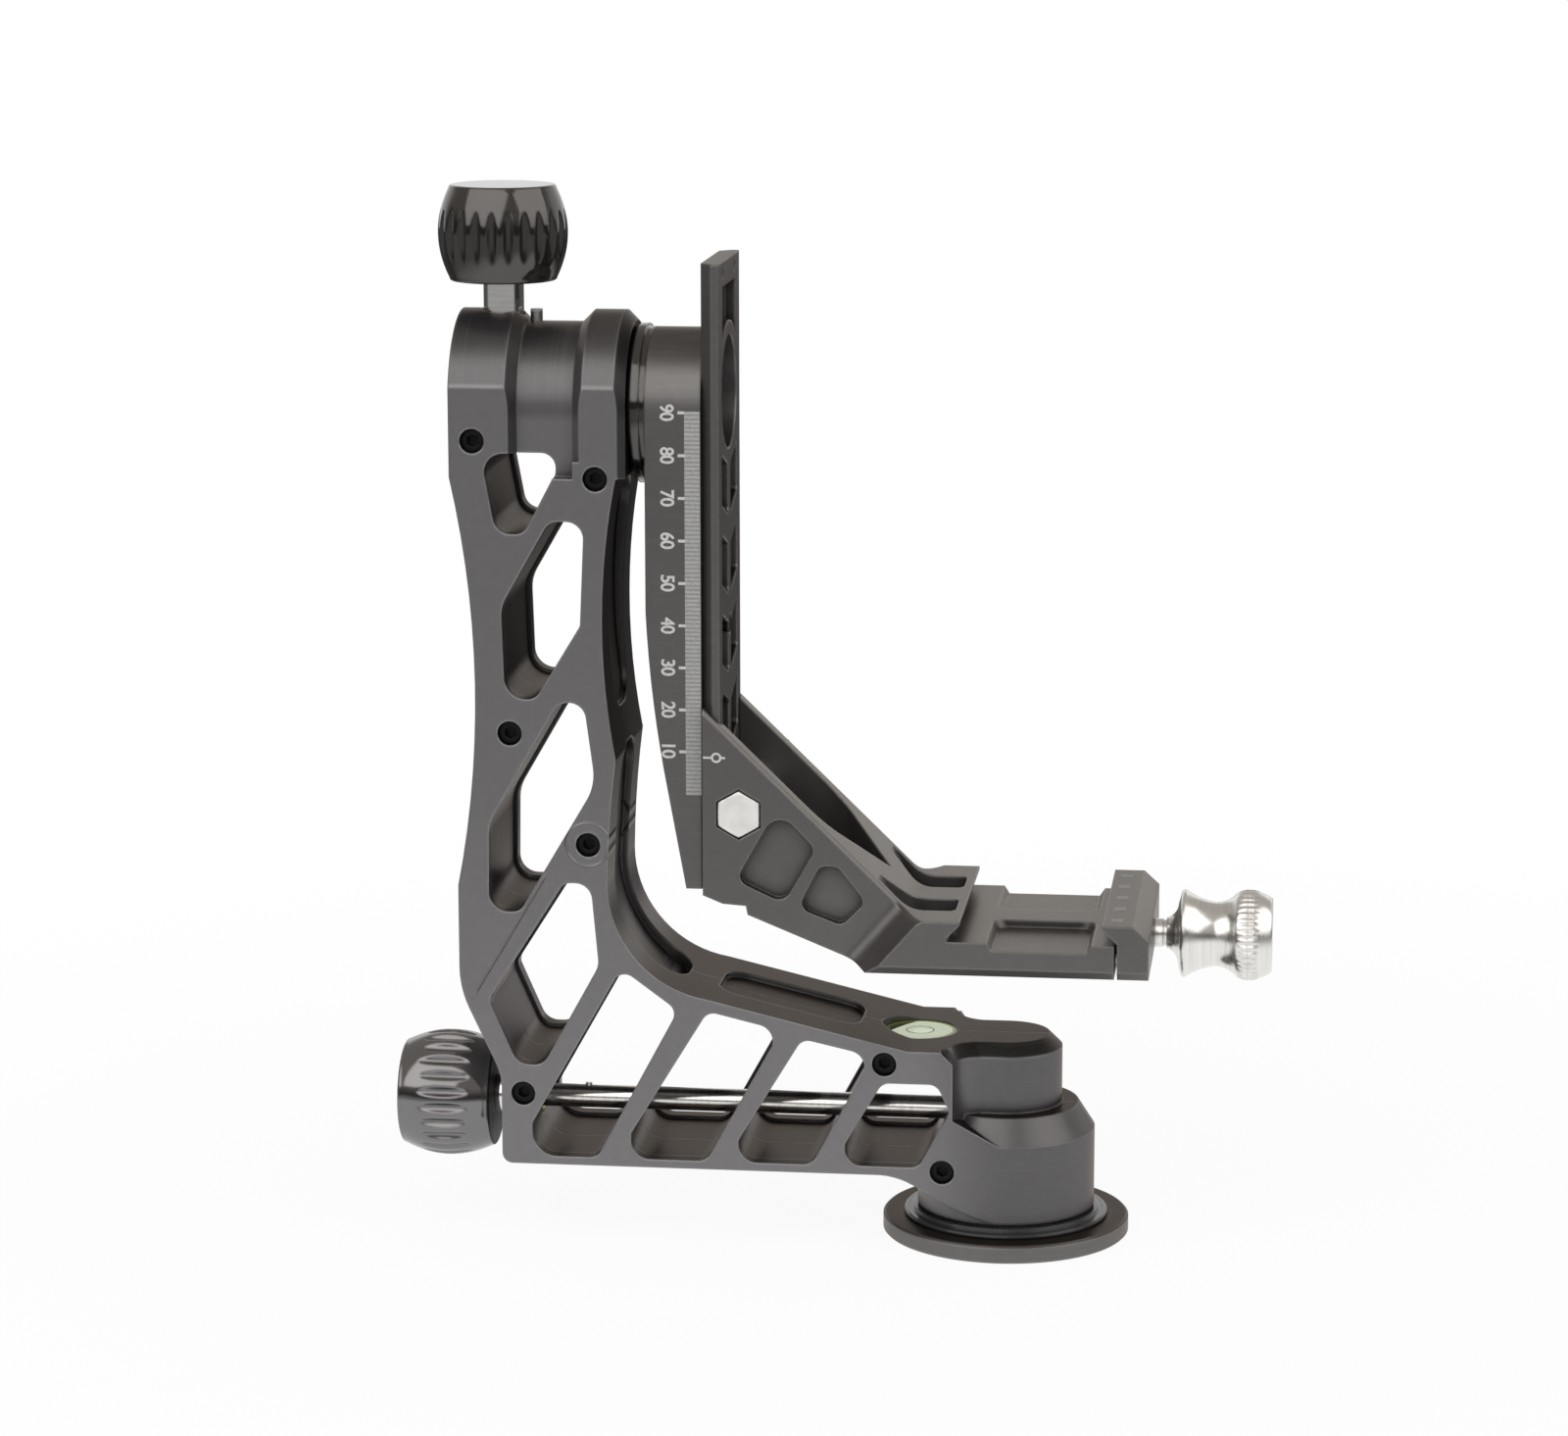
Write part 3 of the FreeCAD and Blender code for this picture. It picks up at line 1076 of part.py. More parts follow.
def swing_arm():
    def at(x, z):
        return Vector(x, -ARM_HALF, z)

    axis, bend = at(ARM_FACE_X, TILT_Z), at(ARM_FACE_X, ARM_BEND_Z)
    knee, toe = at(*ARM_KNEE), at(ARM_TOE_X, ARM_BOTTOM)
    rail_foot, rail_axis = at(RAIL_X, ARM_BOTTOM), at(RAIL_X, TILT_Z)
    edges = [Part.LineSegment(axis, bend).toShape(),
             Part.Arc(bend, at(*ARM_CURVE), knee).toShape(),
             Part.LineSegment(knee, toe).toShape(),
             Part.LineSegment(toe, rail_foot).toShape(),
             Part.LineSegment(rail_foot, rail_axis).toShape(),
             Part.LineSegment(rail_axis, axis).toShape()]
    blade = Part.Face(Part.Wire(edges)).extrude(Vector(0, 2 * ARM_HALF, 0))
    body = fused([blade, cyl_x(ARM_HALF, ARM_FACE_X, RAIL_X, 0, TILT_Z)])
    tools = [cyl_x(AXLE_R + SEAT, ARM_FACE_X - 1, RAIL_X, 0, TILT_Z),
             cyl_x(AXLE_WASHER_R + LOOSE, RAIL_X - AXLE_WASHER_T - AXLE_SEAT_DEPTH, RAIL_X + 1, 0, TILT_Z)]
    tools += chevrons(ARM_POCKET_COUNT, RAIL_X - ARM_POCKET_DEPTH, RAIL_X + 1)
    for z in RAIL_SCREW_Z:
        tools.append(cyl_x(RAIL_SCREW_R + SEAT, RAIL_X - 3.3, RAIL_X + 1, 0, z))
    return cut_all(body, tools)


def rail_section(x0, x1, grow):
    """Dovetail section between x0 and x1, bevelled towards the arm, as (x, y)."""
    half = RAIL_HALF + grow
    slim = RAIL_HALF - RAIL_BEVEL + grow
    bevel_x = x0 + RAIL_BEVEL
    return [(x0, -slim), (bevel_x, -half), (x1, -half), (x1, half), (bevel_x, half), (x0, slim)]


def dovetail_rail():
    bar = plan_prism(rail_section(RAIL_X, RAIL_FACE_X, 0), ARM_BOTTOM, RAIL_TOP)
    tools = [cyl_x(RAIL_BORE_R, RAIL_X - 1, RAIL_FACE_X + 1, 0, RAIL_BORE_Z),
             rail_pocket()]
    tools += chevrons(CHEVRON_COUNT, RAIL_X - 1, RAIL_FACE_X + 1)
    for side in (-1, 1):
        tools.append(cyl_x(RAIL_HOLE_R, RAIL_X - 1, RAIL_FACE_X + 1, side * RAIL_HOLE_Y, RAIL_HOLE_Z))
    for z in RAIL_SCREW_Z[1:]:
        tools.append(cyl_x(RAIL_SCREW_R + FIT, RAIL_X - 1, RAIL_FACE_X + 1, 0, z))
        tools.append(cyl_x(RAIL_SCREW_HEAD_R - 1.5, RAIL_FACE_X - 2.4, RAIL_FACE_X + 1, 0, z))
    return cut_all(bar, tools)


def rail_screws():
    screws = []
    for z in RAIL_SCREW_Z[1:]:
        head = cyl_x(RAIL_SCREW_HEAD_R - 1.6, RAIL_FACE_X - 2.4, RAIL_FACE_X - 0.3, 0, z)
        shank = cyl_x(RAIL_SCREW_R, RAIL_X - 3.0, RAIL_FACE_X - 2, 0, z)
        screws.append(fused([head, shank]))
    return Part.makeCompound(screws)


# ---------------------------------------------------------------- carriage

def bracket_outline():
    """Side outline shared by the bracket and the platform, as (x, z, radius)."""
    under = LIP_X - LIP_UNDERCUT
    return [(CARRIAGE_BACK, CARRIAGE_TOP, 0), (BEND_X, JAW_TOP, BEND_R), (LIP_X, JAW_TOP, 0),
            (LIP_X, JAW_TOP - LIP_LAND, 0), (under, JAW_TOP - LIP_LAND - LIP_UNDERCUT, 0),
            (under, PLATFORM_FLOOR, 0), (PLATFORM_END, PLATFORM_FLOOR, 0),
            (PLATFORM_END, PLATFORM_BOTTOM, 0), (UNDERSIDE_X, PLATFORM_BOTTOM, 0),
            HEEL_RISE + (0,), HEEL_STEP + (0,), HEEL_FLAT + (0,), (CARRIAGE_BACK, HEEL_BACK_Z, 0)]


def flare_cutter():
    """Takes the platform's width down to the bracket's, with a leaning flat flare."""
    low, high = PLATFORM_BOTTOM - 10, CARRIAGE_TOP + 10
    shift = FLARE_LEAN * (low - PLATFORM_BOTTOM)
    over = 2.0
    spread = over * (FLARE_OUT_X - FLARE_IN_X) / (PLATFORM_HALF - BRACKET_HALF)
    back = CARRIAGE_BACK - 5 - FLARE_LEAN * (high - low)
    return plan_slab([(back, BRACKET_HALF, 0), (FLARE_IN_X + shift, BRACKET_HALF, FLARE_FILLET),
                      (FLARE_OUT_X + shift + spread, PLATFORM_HALF + over, 0),
                      (back, PLATFORM_HALF + over, 0)], low, high, FLARE_LEAN)


def long_bottom_edges(solid, z):
    """Edges along X at height z on the two long sides."""
    return [edge for edge in solid.Edges
            if abs(edge.BoundBox.ZMin - z) < 1e-3 and abs(edge.BoundBox.ZMax - z) < 1e-3
            and abs(abs(edge.BoundBox.YMin) - PLATFORM_HALF) < 1e-3 and edge.BoundBox.YLength < 1e-3]


def slope_edges(solid):
    """Upper edges of the bracket's two outer sides, along the slope."""
    lean = slope_z(0) - slope_z(1)
    found = []
    for edge in solid.Edges:
        side = abs(abs(edge.CenterOfMass.y) - BRACKET_HALF) < 1e-3 and edge.BoundBox.YLength < 1e-3
        along = edge.tangentAt(edge.FirstParameter)
        if side and abs(abs(along.z) - lean * abs(along.x)) < 1e-3 and edge.Length > 20:
            found.append(edge)
    return found


def carriage_blank():
    blank = slab(bracket_outline(), -PLATFORM_HALF, PLATFORM_HALF)
    blank = blank.makeChamfer(PLATFORM_CHAMFER, long_bottom_edges(blank, PLATFORM_BOTTOM))
    cutter = flare_cutter()
    blank = cut_all(blank, [cutter, mirrored_y(cutter)])
    return blank.makeChamfer(RIB_CHAMFER, slope_edges(blank))


def rail_channel():
    """Room for the rail: its own section grown by the sliding gap."""
    section = rail_section(RAIL_X - 3, CHANNEL_X, FACE_GAP)
    section[1] = (RAIL_X + RAIL_BEVEL, -CHANNEL_HALF)
    section[4] = (RAIL_X + RAIL_BEVEL, CHANNEL_HALF)
    slim = RAIL_HALF - RAIL_BEVEL + FACE_GAP - 3
    section[0] = (RAIL_X - 3, -slim)
    section[5] = (RAIL_X - 3, slim)
    return plan_prism(section, PLATFORM_BOTTOM - 5, CARRIAGE_TOP + 5)


def slope_z(x):
    """Height of the bracket's straight sloping top."""
    return JAW_TOP + (CARRIAGE_TOP - JAW_TOP) / (BEND_X - CARRIAGE_BACK) * (BEND_X - x)


def trough():
    """Deep hollow between the two ribs, narrowing to a point above the bend."""
    rib_in = BRACKET_HALF - RIB_T
    back = CHANNEL_X - 0.1
    plan = plan_slab([(back, -rib_in, 0), (TROUGH_SHOULDER_X, -rib_in, TROUGH_SHOULDER_R),
                      (TROUGH_TIP_X, 0, TROUGH_TIP_R), (TROUGH_SHOULDER_X, rib_in, TROUGH_SHOULDER_R),
                      (back, rib_in, 0)], PLATFORM_BOTTOM, CARRIAGE_TOP + 5)
    wall_x = CHANNEL_X + BACK_WALL_T
    side = slab([(back, BACK_WALL_TOP, 0), (wall_x, BACK_WALL_TOP, 0), (wall_x, TROUGH_FLOOR_BACK, 1.0),
                 (TROUGH_TIP_X + 1, TROUGH_FLOOR_TIP, 0), (TROUGH_TIP_X + 1, CARRIAGE_TOP + 5, 0),
                 (back, CARRIAGE_TOP + 5, 0)], -PLATFORM_HALF, PLATFORM_HALF)
    return plan.common(side)


def bend_slots():
    """Two slots that follow the bend, beside the spine of the fixed jaw."""
    start_z = slope_z(SLOT_START_X) + 0.6
    floor_z = JAW_TOP - SLOT_DEPTH
    high = start_z + 8
    side = slab([(SLOT_START_X, start_z, 0), (BEND_X - 0.6 * SLOT_DEPTH, floor_z, BEND_R),
                 (SLOT_END_X, floor_z, 0), (SLOT_END_X, high, 0), (SLOT_START_X, high, 0)], 0, PLATFORM_HALF)
    plan = plan_slab([(SLOT_START_X - 1, SLOT_Y1 - SLOT_TIP_W, 0), (BEND_X, SLOT_Y0, BEND_R),
                      (SLOT_END_X, SLOT_Y0, SLOT_END_R), (SLOT_END_X, SLOT_Y1, SLOT_END_R),
                      (SLOT_START_X - 1, SLOT_Y1, 0)], floor_z - 1, high + 1)
    slot = side.common(plan)
    return [slot, mirrored_y(slot)]


SIDE_POCKETS = [
    [(-52.9, 106.3, 4.0), (-43.8, 96.9, 2.6), (-51.4, 83.7, 3.2), (-62.7, 88.9, 2.6)],
    [(-42.7, 92.9, 2.2), (-38.6, 92.8, 2.2), (-32.0, 84.5, 2.2), (-37.6, 78.7, 2.4), (-47.9, 82.6, 2.4)],
]


def side_pockets():
    tools = []
    for points in SIDE_POCKETS:
        pocket = slab(points, -BRACKET_HALF - 12, -BRACKET_HALF + SIDE_POCKET_DEPTH)
        tools += [pocket, mirrored_y(pocket)]
    return tools


def floor_recesses():
    """Two shallow recesses in the platform, open to its sides, with a spine between."""
    low = PLATFORM_FLOOR - RECESS_DEPTH
    over = 0.5
    grow = RECESS_DRAFT * over / RECESS_DEPTH
    outline = [(RECESS_X0 - grow, PLATFORM_FLOOR + over, 0), (RECESS_X0 + RECESS_DRAFT, low, 0),
               (RECESS_X1 - RECESS_DRAFT, low, 0), (RECESS_X1 + grow, PLATFORM_FLOOR + over, 0)]
    recess = slab(outline, SPINE_HALF, PLATFORM_HALF + 1)
    corners = [edge for edge in recess.Edges
               if edge.BoundBox.YLength < 1e-3 and abs(edge.CenterOfMass.y - SPINE_HALF) < 1e-3
               and edge.BoundBox.ZLength > 0.5]
    recess = recess.makeFillet(RECESS_CORNER_R, corners)
    return [recess, mirrored_y(recess)]


def carriage():
    tools = [rail_channel(), trough()] + bend_slots() + side_pockets() + floor_recesses()
    reach = GIB_HALF_Z + LOOSE
    over = BRACKET_HALF + 1
    x, z = HEIGHT_BOLT_X, HEIGHT_BOLT_Z
    tools.append(box(CARRIAGE_BACK - 1, CHANNEL_X, BRACKET_HALF - RIB_T, over, z - reach, z + reach))
    tools.append(cyl_y(HEIGHT_BOLT_R + SEAT, -over, over, x, z))
    tools.append(hexagon_y(HEX_AF + HEX_GAP, -over, -BRACKET_HALF + HEX_T, x, z))
    tools.append(cyl_x(CLAMP_SCREW_R + FIT, CLAMP_SCREW_X0 - 1, PLATFORM_END + 1, 0, CLAMP_Z))
    for side in (-1, 1):
        tools.append(cyl_x(PIN_R + FIT, PIN_X0 - 0.5, PLATFORM_END + 1, side * PIN_Y, PIN_Z))
    return cut_all(carriage_blank(), tools)


def clamp_gib():
    """Bar on the far side whose bevelled lip draws the rail into its channel."""
    inner = BRACKET_HALF + LOOSE
    outer = inner + GIB_T
    seat = RAIL_HALF + LOOSE
    slim = RAIL_HALF - RAIL_BEVEL + FACE_GAP
    front = CHANNEL_X - LOOSE
    plan = [(GIB_END_X, inner), (GIB_END_X, outer), (CARRIAGE_BACK, outer),
            (CARRIAGE_BACK, slim + (CARRIAGE_BACK - RAIL_X)),
            (RAIL_X + RAIL_BEVEL + LOOSE - FACE_GAP, seat), (front, seat), (front, inner)]
    body = plan_prism(plan, HEIGHT_BOLT_Z - GIB_HALF_Z, HEIGHT_BOLT_Z + GIB_HALF_Z)
    return body.cut(cyl_y(HEIGHT_BOLT_R + FIT, inner - 1, outer + 1, HEIGHT_BOLT_X, HEIGHT_BOLT_Z))


def height_bolt():
    """Bolt held from turning by its hexagonal seat, with its head flush in the near rib."""
    face_y = -BRACKET_HALF
    head = hexagon_y(HEX_AF, face_y, face_y + HEX_T, HEIGHT_BOLT_X, HEIGHT_BOLT_Z)
    rim = HEX_AF / 2 + HEX_CHAMFER
    centre = Vector(HEIGHT_BOLT_X, face_y, HEIGHT_BOLT_Z)
    cone = Part.makeCone(rim, rim + 2 * HEX_T, HEX_T, centre, Vector(0, 1, 0))
    end_y = BRACKET_HALF + LOOSE + GIB_T + HEIGHT_KNOB_L - 2
    shank = cyl_y(HEIGHT_BOLT_R, face_y + 0.5, end_y, HEIGHT_BOLT_X, HEIGHT_BOLT_Z)
    return fused([head.common(cone), shank])


def height_knob():
    """Round fluted nut that pulls the bolt and pushes the gib."""
    y0 = BRACKET_HALF + LOOSE + GIB_T
    y1 = y0 + HEIGHT_KNOB_L
    x, z = HEIGHT_BOLT_X, HEIGHT_BOLT_Z
    boss_r = HEIGHT_KNOB_R - 3.0
    step = 1.2
    body = fused([cyl_y(boss_r, y0, y0 + step + 1, x, z), cyl_y(HEIGHT_KNOB_R, y0 + step, y1, x, z)])
    tools = [cyl_y(HEIGHT_BOLT_R + FIT, y0 - 1, y1 - 1.5, x, z)]
    for i in range(HEIGHT_KNOB_FLUTES):
        angle = 2 * math.pi * i / HEIGHT_KNOB_FLUTES
        tools.append(cyl_y(HEIGHT_KNOB_FLUTE_R, y0, y1 + 1, x + HEIGHT_KNOB_R * math.cos(angle),
                           z + HEIGHT_KNOB_R * math.sin(angle)))
    return cut_all(body, tools)


# ---------------------------------------------------------------- moving jaw

def moving_jaw():
    foot = JAW_TOP - LIP_LAND - (JAW_X0 - JAW_LIP_X)
    body = slab([(JAW_X0, PLATFORM_BOTTOM, 0), (JAW_X1, PLATFORM_BOTTOM, 0), (JAW_X1, JAW_CHAMFER_Z, 0),
                 (JAW_CHAMFER_X, JAW_TOP, 0), (JAW_LIP_X, JAW_TOP, 0), (JAW_LIP_X, JAW_TOP - LIP_LAND, 0),
                 (JAW_X0, foot, 0)], -PLATFORM_HALF, PLATFORM_HALF)
    body = body.makeChamfer(PLATFORM_CHAMFER, long_bottom_edges(body, PLATFORM_BOTTOM))
    tools = [cyl_x(CLAMP_SCREW_R + FIT, JAW_X0 - 1, JAW_X1 + 1, 0, CLAMP_Z),
             cyl_x(CLIP_R + LOOSE, JAW_X0 - 1, JAW_X0 + CLIP_IN + CLIP_T + FIT, 0, CLAMP_Z)]
    for side in (-1, 1):
        tools.append(cyl_x(PIN_R + SEAT, JAW_X0 - 1, JAW_X1 - 1.5, side * PIN_Y, PIN_Z))
    return cut_all(body, tools)


def jaw_pins():
    return Part.makeCompound([cyl_x(PIN_R, PIN_X0, JAW_X1 - 1.6, side * PIN_Y, PIN_Z) for side in (-1, 1)])


def clamp_clip():
    """Snap ring that makes the jaw follow the screw when the knob is undone."""
    x0 = JAW_X0 + CLIP_IN
    return turned_x([(CLAMP_SCREW_R + SEAT, x0), (CLIP_R, x0), (CLIP_R, x0 + CLIP_T),
                     (CLAMP_SCREW_R + SEAT, x0 + CLIP_T)], 0, CLAMP_Z)


def clamp_screw():
    collar_x = JAW_X1 + FIT
    end_x = CLAMP_KNOB_X0 + CLAMP_BORE_L
    return turned_x([(0, CLAMP_SCREW_X0), (CLAMP_SCREW_R, CLAMP_SCREW_X0), (CLAMP_SCREW_R, collar_x),
                     (CLAMP_COLLAR_R, collar_x), (CLAMP_COLLAR_R, CLAMP_COLLAR_X1),
                     (CLAMP_NECK_R, CLAMP_COLLAR_X1), (CLAMP_NECK_R, end_x), (0, end_x)], 0, CLAMP_Z)


def clamp_knob():
    """Waisted knob turned from bar, with a knurled band near its outer end."""
    def at(x, r):
        return Vector(x, 0, r)

    def line(start, end):
        return Part.LineSegment(start, end).toShape()

    def arc(start, middle, end):
        return Part.Arc(start, middle, end).toShape()

    bore_r = CLAMP_NECK_R + SEAT
    x0 = CLAMP_KNOB_X0
    bore_x = x0 + CLAMP_BORE_L + 0.1
    mouth = at(x0, bore_r)
    face = at(x0, CLAMP_FACE_R)
    cone = at(x0 + CLAMP_CONE_L, CLAMP_CONE_R)
    flange_back = at(x0 + CLAMP_FLANGE_AT - 0.9, CLAMP_FLANGE_R - 0.8)
    flange = at(x0 + CLAMP_FLANGE_AT, CLAMP_FLANGE_R)
    waist_x = x0 + CLAMP_WAIST_AT
    waist = at(waist_x, CLAMP_WAIST_R)
    shoulder = at(CLAMP_SHOULDER_X, CLAMP_RIM_R - 0.9)
    rim = at(CLAMP_RIM_X0, CLAMP_RIM_R)
    rim_end = at(CLAMP_RIM_X1, CLAMP_RIM_R)
    end = at(CLAMP_KNOB_X1, CLAMP_END_R)
    edges = [
        line(mouth, face),
        arc(face, at(x0 + 0.63 * CLAMP_CONE_L, CLAMP_FACE_R + 1.1), cone),
        line(cone, flange_back),
        arc(flange_back, at(x0 + CLAMP_FLANGE_AT - 0.55, CLAMP_FLANGE_R - 0.25), flange),
        arc(flange, at(waist_x - 3.9, CLAMP_WAIST_R + 1.0), waist),
        arc(waist, at(waist_x + 2.7, CLAMP_WAIST_R + 0.65), shoulder),
        arc(shoulder, at(CLAMP_RIM_X0 - 1.1, CLAMP_RIM_R - 0.3), rim),
        line(rim, rim_end),
        arc(rim_end, at((CLAMP_RIM_X1 + CLAMP_KNOB_X1) / 2, (CLAMP_RIM_R + CLAMP_END_R) / 2 + 0.2), end),
        line(end, at(CLAMP_KNOB_X1, 0)),
        line(at(CLAMP_KNOB_X1, 0), at(bore_x, 0)),
        line(at(bore_x, 0), at(bore_x, bore_r)),
        line(at(bore_x, bore_r), mouth),
    ]
    knob = Part.Face(Part.Wire(edges)).revolve(Vector(0, 0, 0), Vector(1, 0, 0), 360)
    knurls = []
    for i in range(KNURL_COUNT):
        angle = 2 * math.pi * i / KNURL_COUNT
        knurls.append(cyl_x(KNURL_R, KNURL_X0, KNURL_X1, CLAMP_RIM_R * math.cos(angle),
                            CLAMP_RIM_R * math.sin(angle)))
    knob = cut_all(knob, knurls)
    knob.translate(Vector(0, 0, CLAMP_Z))
    return knob


# ---------------------------------------------------------------- write all nodes

def main():
    os.makedirs("parts", exist_ok=True)
    body = frame_body()
    write("frame_front_half", frame_half(body, True))
    write("frame_rear_half", frame_half(body, False))
    makers = [base_disc, thread_insert, dust_ring, pan_spindle, base_screws, pan_thrust_washer,
              pan_bearing_lower, pan_bearing_upper, pan_retaining_nut, frame_screws, level_cup,
              level_fluid, level_lens, tilt_knob, tilt_lock_stud, tilt_lock_bush, tilt_brake_shoe,
              pan_knob, pan_lock_rod, pan_lock_bush, pan_brake_shoe, tilt_axle, axle_retaining_ring,
              tilt_bearing, tilt_bush, tilt_collar, axle_washer, axle_bolt, hub_set_screw, swing_arm,
              dovetail_rail, rail_screws, carriage, clamp_gib, height_bolt, height_knob, moving_jaw, jaw_pins,
              clamp_clip, clamp_screw, clamp_knob]
    for maker in makers:
        write(maker.__name__, maker())


main()
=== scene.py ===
"""Looks of a gimbal tripod head: finishes for its machined pieces, knobs, scale, level and studio.

Laid out as an add-on, and run as a script. Lengths are metres in the frame of the packed model:
+Z up along the pan axis, +X from the upright towards the platform, -Y the graduated side.
"""

import json
import math

import bpy
import numpy as np
from mathutils import Matrix, Vector


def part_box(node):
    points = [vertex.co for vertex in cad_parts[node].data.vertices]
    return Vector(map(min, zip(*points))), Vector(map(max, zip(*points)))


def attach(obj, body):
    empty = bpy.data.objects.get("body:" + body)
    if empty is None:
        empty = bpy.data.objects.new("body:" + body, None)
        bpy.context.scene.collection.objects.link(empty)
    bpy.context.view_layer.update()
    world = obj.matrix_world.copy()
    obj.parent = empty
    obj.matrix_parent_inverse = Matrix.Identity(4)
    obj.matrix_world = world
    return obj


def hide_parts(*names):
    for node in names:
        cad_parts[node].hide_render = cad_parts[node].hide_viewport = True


bl_info = {
    "name": "Gimbal Head Looks",
    "version": (1, 0, 0),
    "blender": (4, 5, 0),
    "location": "3D View > Sidebar > Gimbal Head",
    "description": "Finishes, knobs, scale, bubble level and studio for a gimbal tripod head",
    "category": "Object",
}

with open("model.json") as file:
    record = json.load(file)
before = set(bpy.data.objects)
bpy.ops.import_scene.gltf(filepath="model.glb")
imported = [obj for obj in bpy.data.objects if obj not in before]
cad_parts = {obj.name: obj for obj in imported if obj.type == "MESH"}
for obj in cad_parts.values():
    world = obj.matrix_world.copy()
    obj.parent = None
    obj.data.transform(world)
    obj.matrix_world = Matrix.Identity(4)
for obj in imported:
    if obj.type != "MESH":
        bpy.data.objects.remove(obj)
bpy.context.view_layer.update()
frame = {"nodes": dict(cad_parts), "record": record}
MM = 0.001


def cad_span(node, axis):
    """Lowest and highest place of a CAD node along one axis."""
    low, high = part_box(node)
    return low[axis], high[axis]


KNOB_BOTTOM, KNOB_TOP = cad_span("tilt_knob", 2)
KNOB_LOW_X, KNOB_HIGH_X = cad_span("tilt_knob", 0)
PAN_KNOB_INNER = cad_span("pan_knob", 0)[1]
PAN_KNOB_LOW, PAN_KNOB_HIGH = cad_span("pan_knob", 2)
CLAMP_INNER, CLAMP_OUTER = cad_span("clamp_knob", 0)
CLAMP_LOW, CLAMP_HIGH = cad_span("clamp_knob", 2)
ARM_FRONT = cad_span("swing_arm", 1)[0]
CARRIAGE_SIDE = -20.8 * MM
JAW_FRONT, JAW_BACK = cad_span("moving_jaw", 1)
JAW_TOP = cad_span("moving_jaw", 2)[1]
LENS_LOW_X, LENS_HIGH_X = cad_span("level_lens", 0)
LENS_X, LENS_RADIUS = (LENS_LOW_X + LENS_HIGH_X) / 2, (LENS_HIGH_X - LENS_LOW_X) / 2
LENS_TOP = cad_span("level_lens", 2)[1]

# Places on the metal that the finishes and the marks follow; pairs are X and Z
TILT_AXIS_Z = 198.9 * MM
FLAT_FACE_Y = 21.1 * MM
HOUSING_FROM_X, HOUSING_TO_X = -24.0 * MM, 2.0 * MM
SCREW_RING = (-97.7 * MM, 96.6 * MM)
CREASE = ((-107.4 * MM, 89.8 * MM), (-126.1 * MM, 58.2 * MM))
CREASE_SIDE = -20.5 * MM
SCALE_LENGTH = 90.0 * MM
NUMBER_OFFSET = 7.8 * MM  # from the arm's rail edge back to a number's middle
INDEX_X, INDEX_START_X, INDEX_Z = -67.2 * MM, -70.3 * MM, 118.2 * MM
JAW_MARK_FROM, JAW_MARK_TO = 25.7 * MM, 28.5 * MM
SINK = 0.02 * MM  # how deep paint lies in the metal

# Lock knobs: broken edge of the bore's mouth, and the bore's depth as a share of the knob's height
BORE_BREAK, BORE_SHARE = 0.3 * MM, 0.49

# Clamp knob: places along its axis from the inner face, and radii
CONE_AT, FLANGE_AT, WAIST_AT = 2.7 * MM, 4.3 * MM, 11.6 * MM
SHOULDER_AT, RIM_AT, RIM_END_AT = 16.4 * MM, 18.6 * MM, 20.6 * MM
FACE_R, CONE_R, FLANGE_R, WAIST_R, END_R = 3.6 * MM, 7.2 * MM, 10.5 * MM, 7.6 * MM, 8.7 * MM
CLAMP_BORE_R, CLAMP_BORE_DEEP = 3.12 * MM, 9.8 * MM

# Camera: turn about Z, pitch and roll in degrees, and its place
CAMERA_ANGLES = (6.9498, 11.0666, -0.0771)
CAMERA_PLACE = (0.077264, -1.074626, 0.335704)
CAMERA_LENS, CAMERA_SENSOR = 106.556, 36.0  # millimetres
MIDDLE_OF_HEAD = Vector((-0.045, 0.0, 0.12))

LINES_PER_METRE = 1500.0  # turning lines
# painted shade: near-black mixed into the metal where a turning-line mask is 1
PAINTED_SHADE = (0.004, 0.004, 0.004)  # shade between turning lines


# ---------------------------------------------------------------- sizes and colours

def colour(name, description, default):
    """Property that holds a colour."""
    return bpy.props.FloatVectorProperty(name=name, description=description, default=default, size=3,
                                         min=0.0, max=1.0, subtype="COLOR")


def length(name, description, default):
    """Property that holds a length in metres."""
    return bpy.props.FloatProperty(name=name, description=description, default=default, min=0.0,
                                   precision=5, unit="LENGTH")


def number_of(name, description, default):
    """Property that holds a number of like features."""
    return bpy.props.IntProperty(name=name, description=description, default=default, min=3)


def share(name, description, default, top=1.0):
    """Property that holds a number from nothing to a top."""
    return bpy.props.FloatProperty(name=name, description=description, default=default, min=0.0,
                                   max=top, subtype="FACTOR")


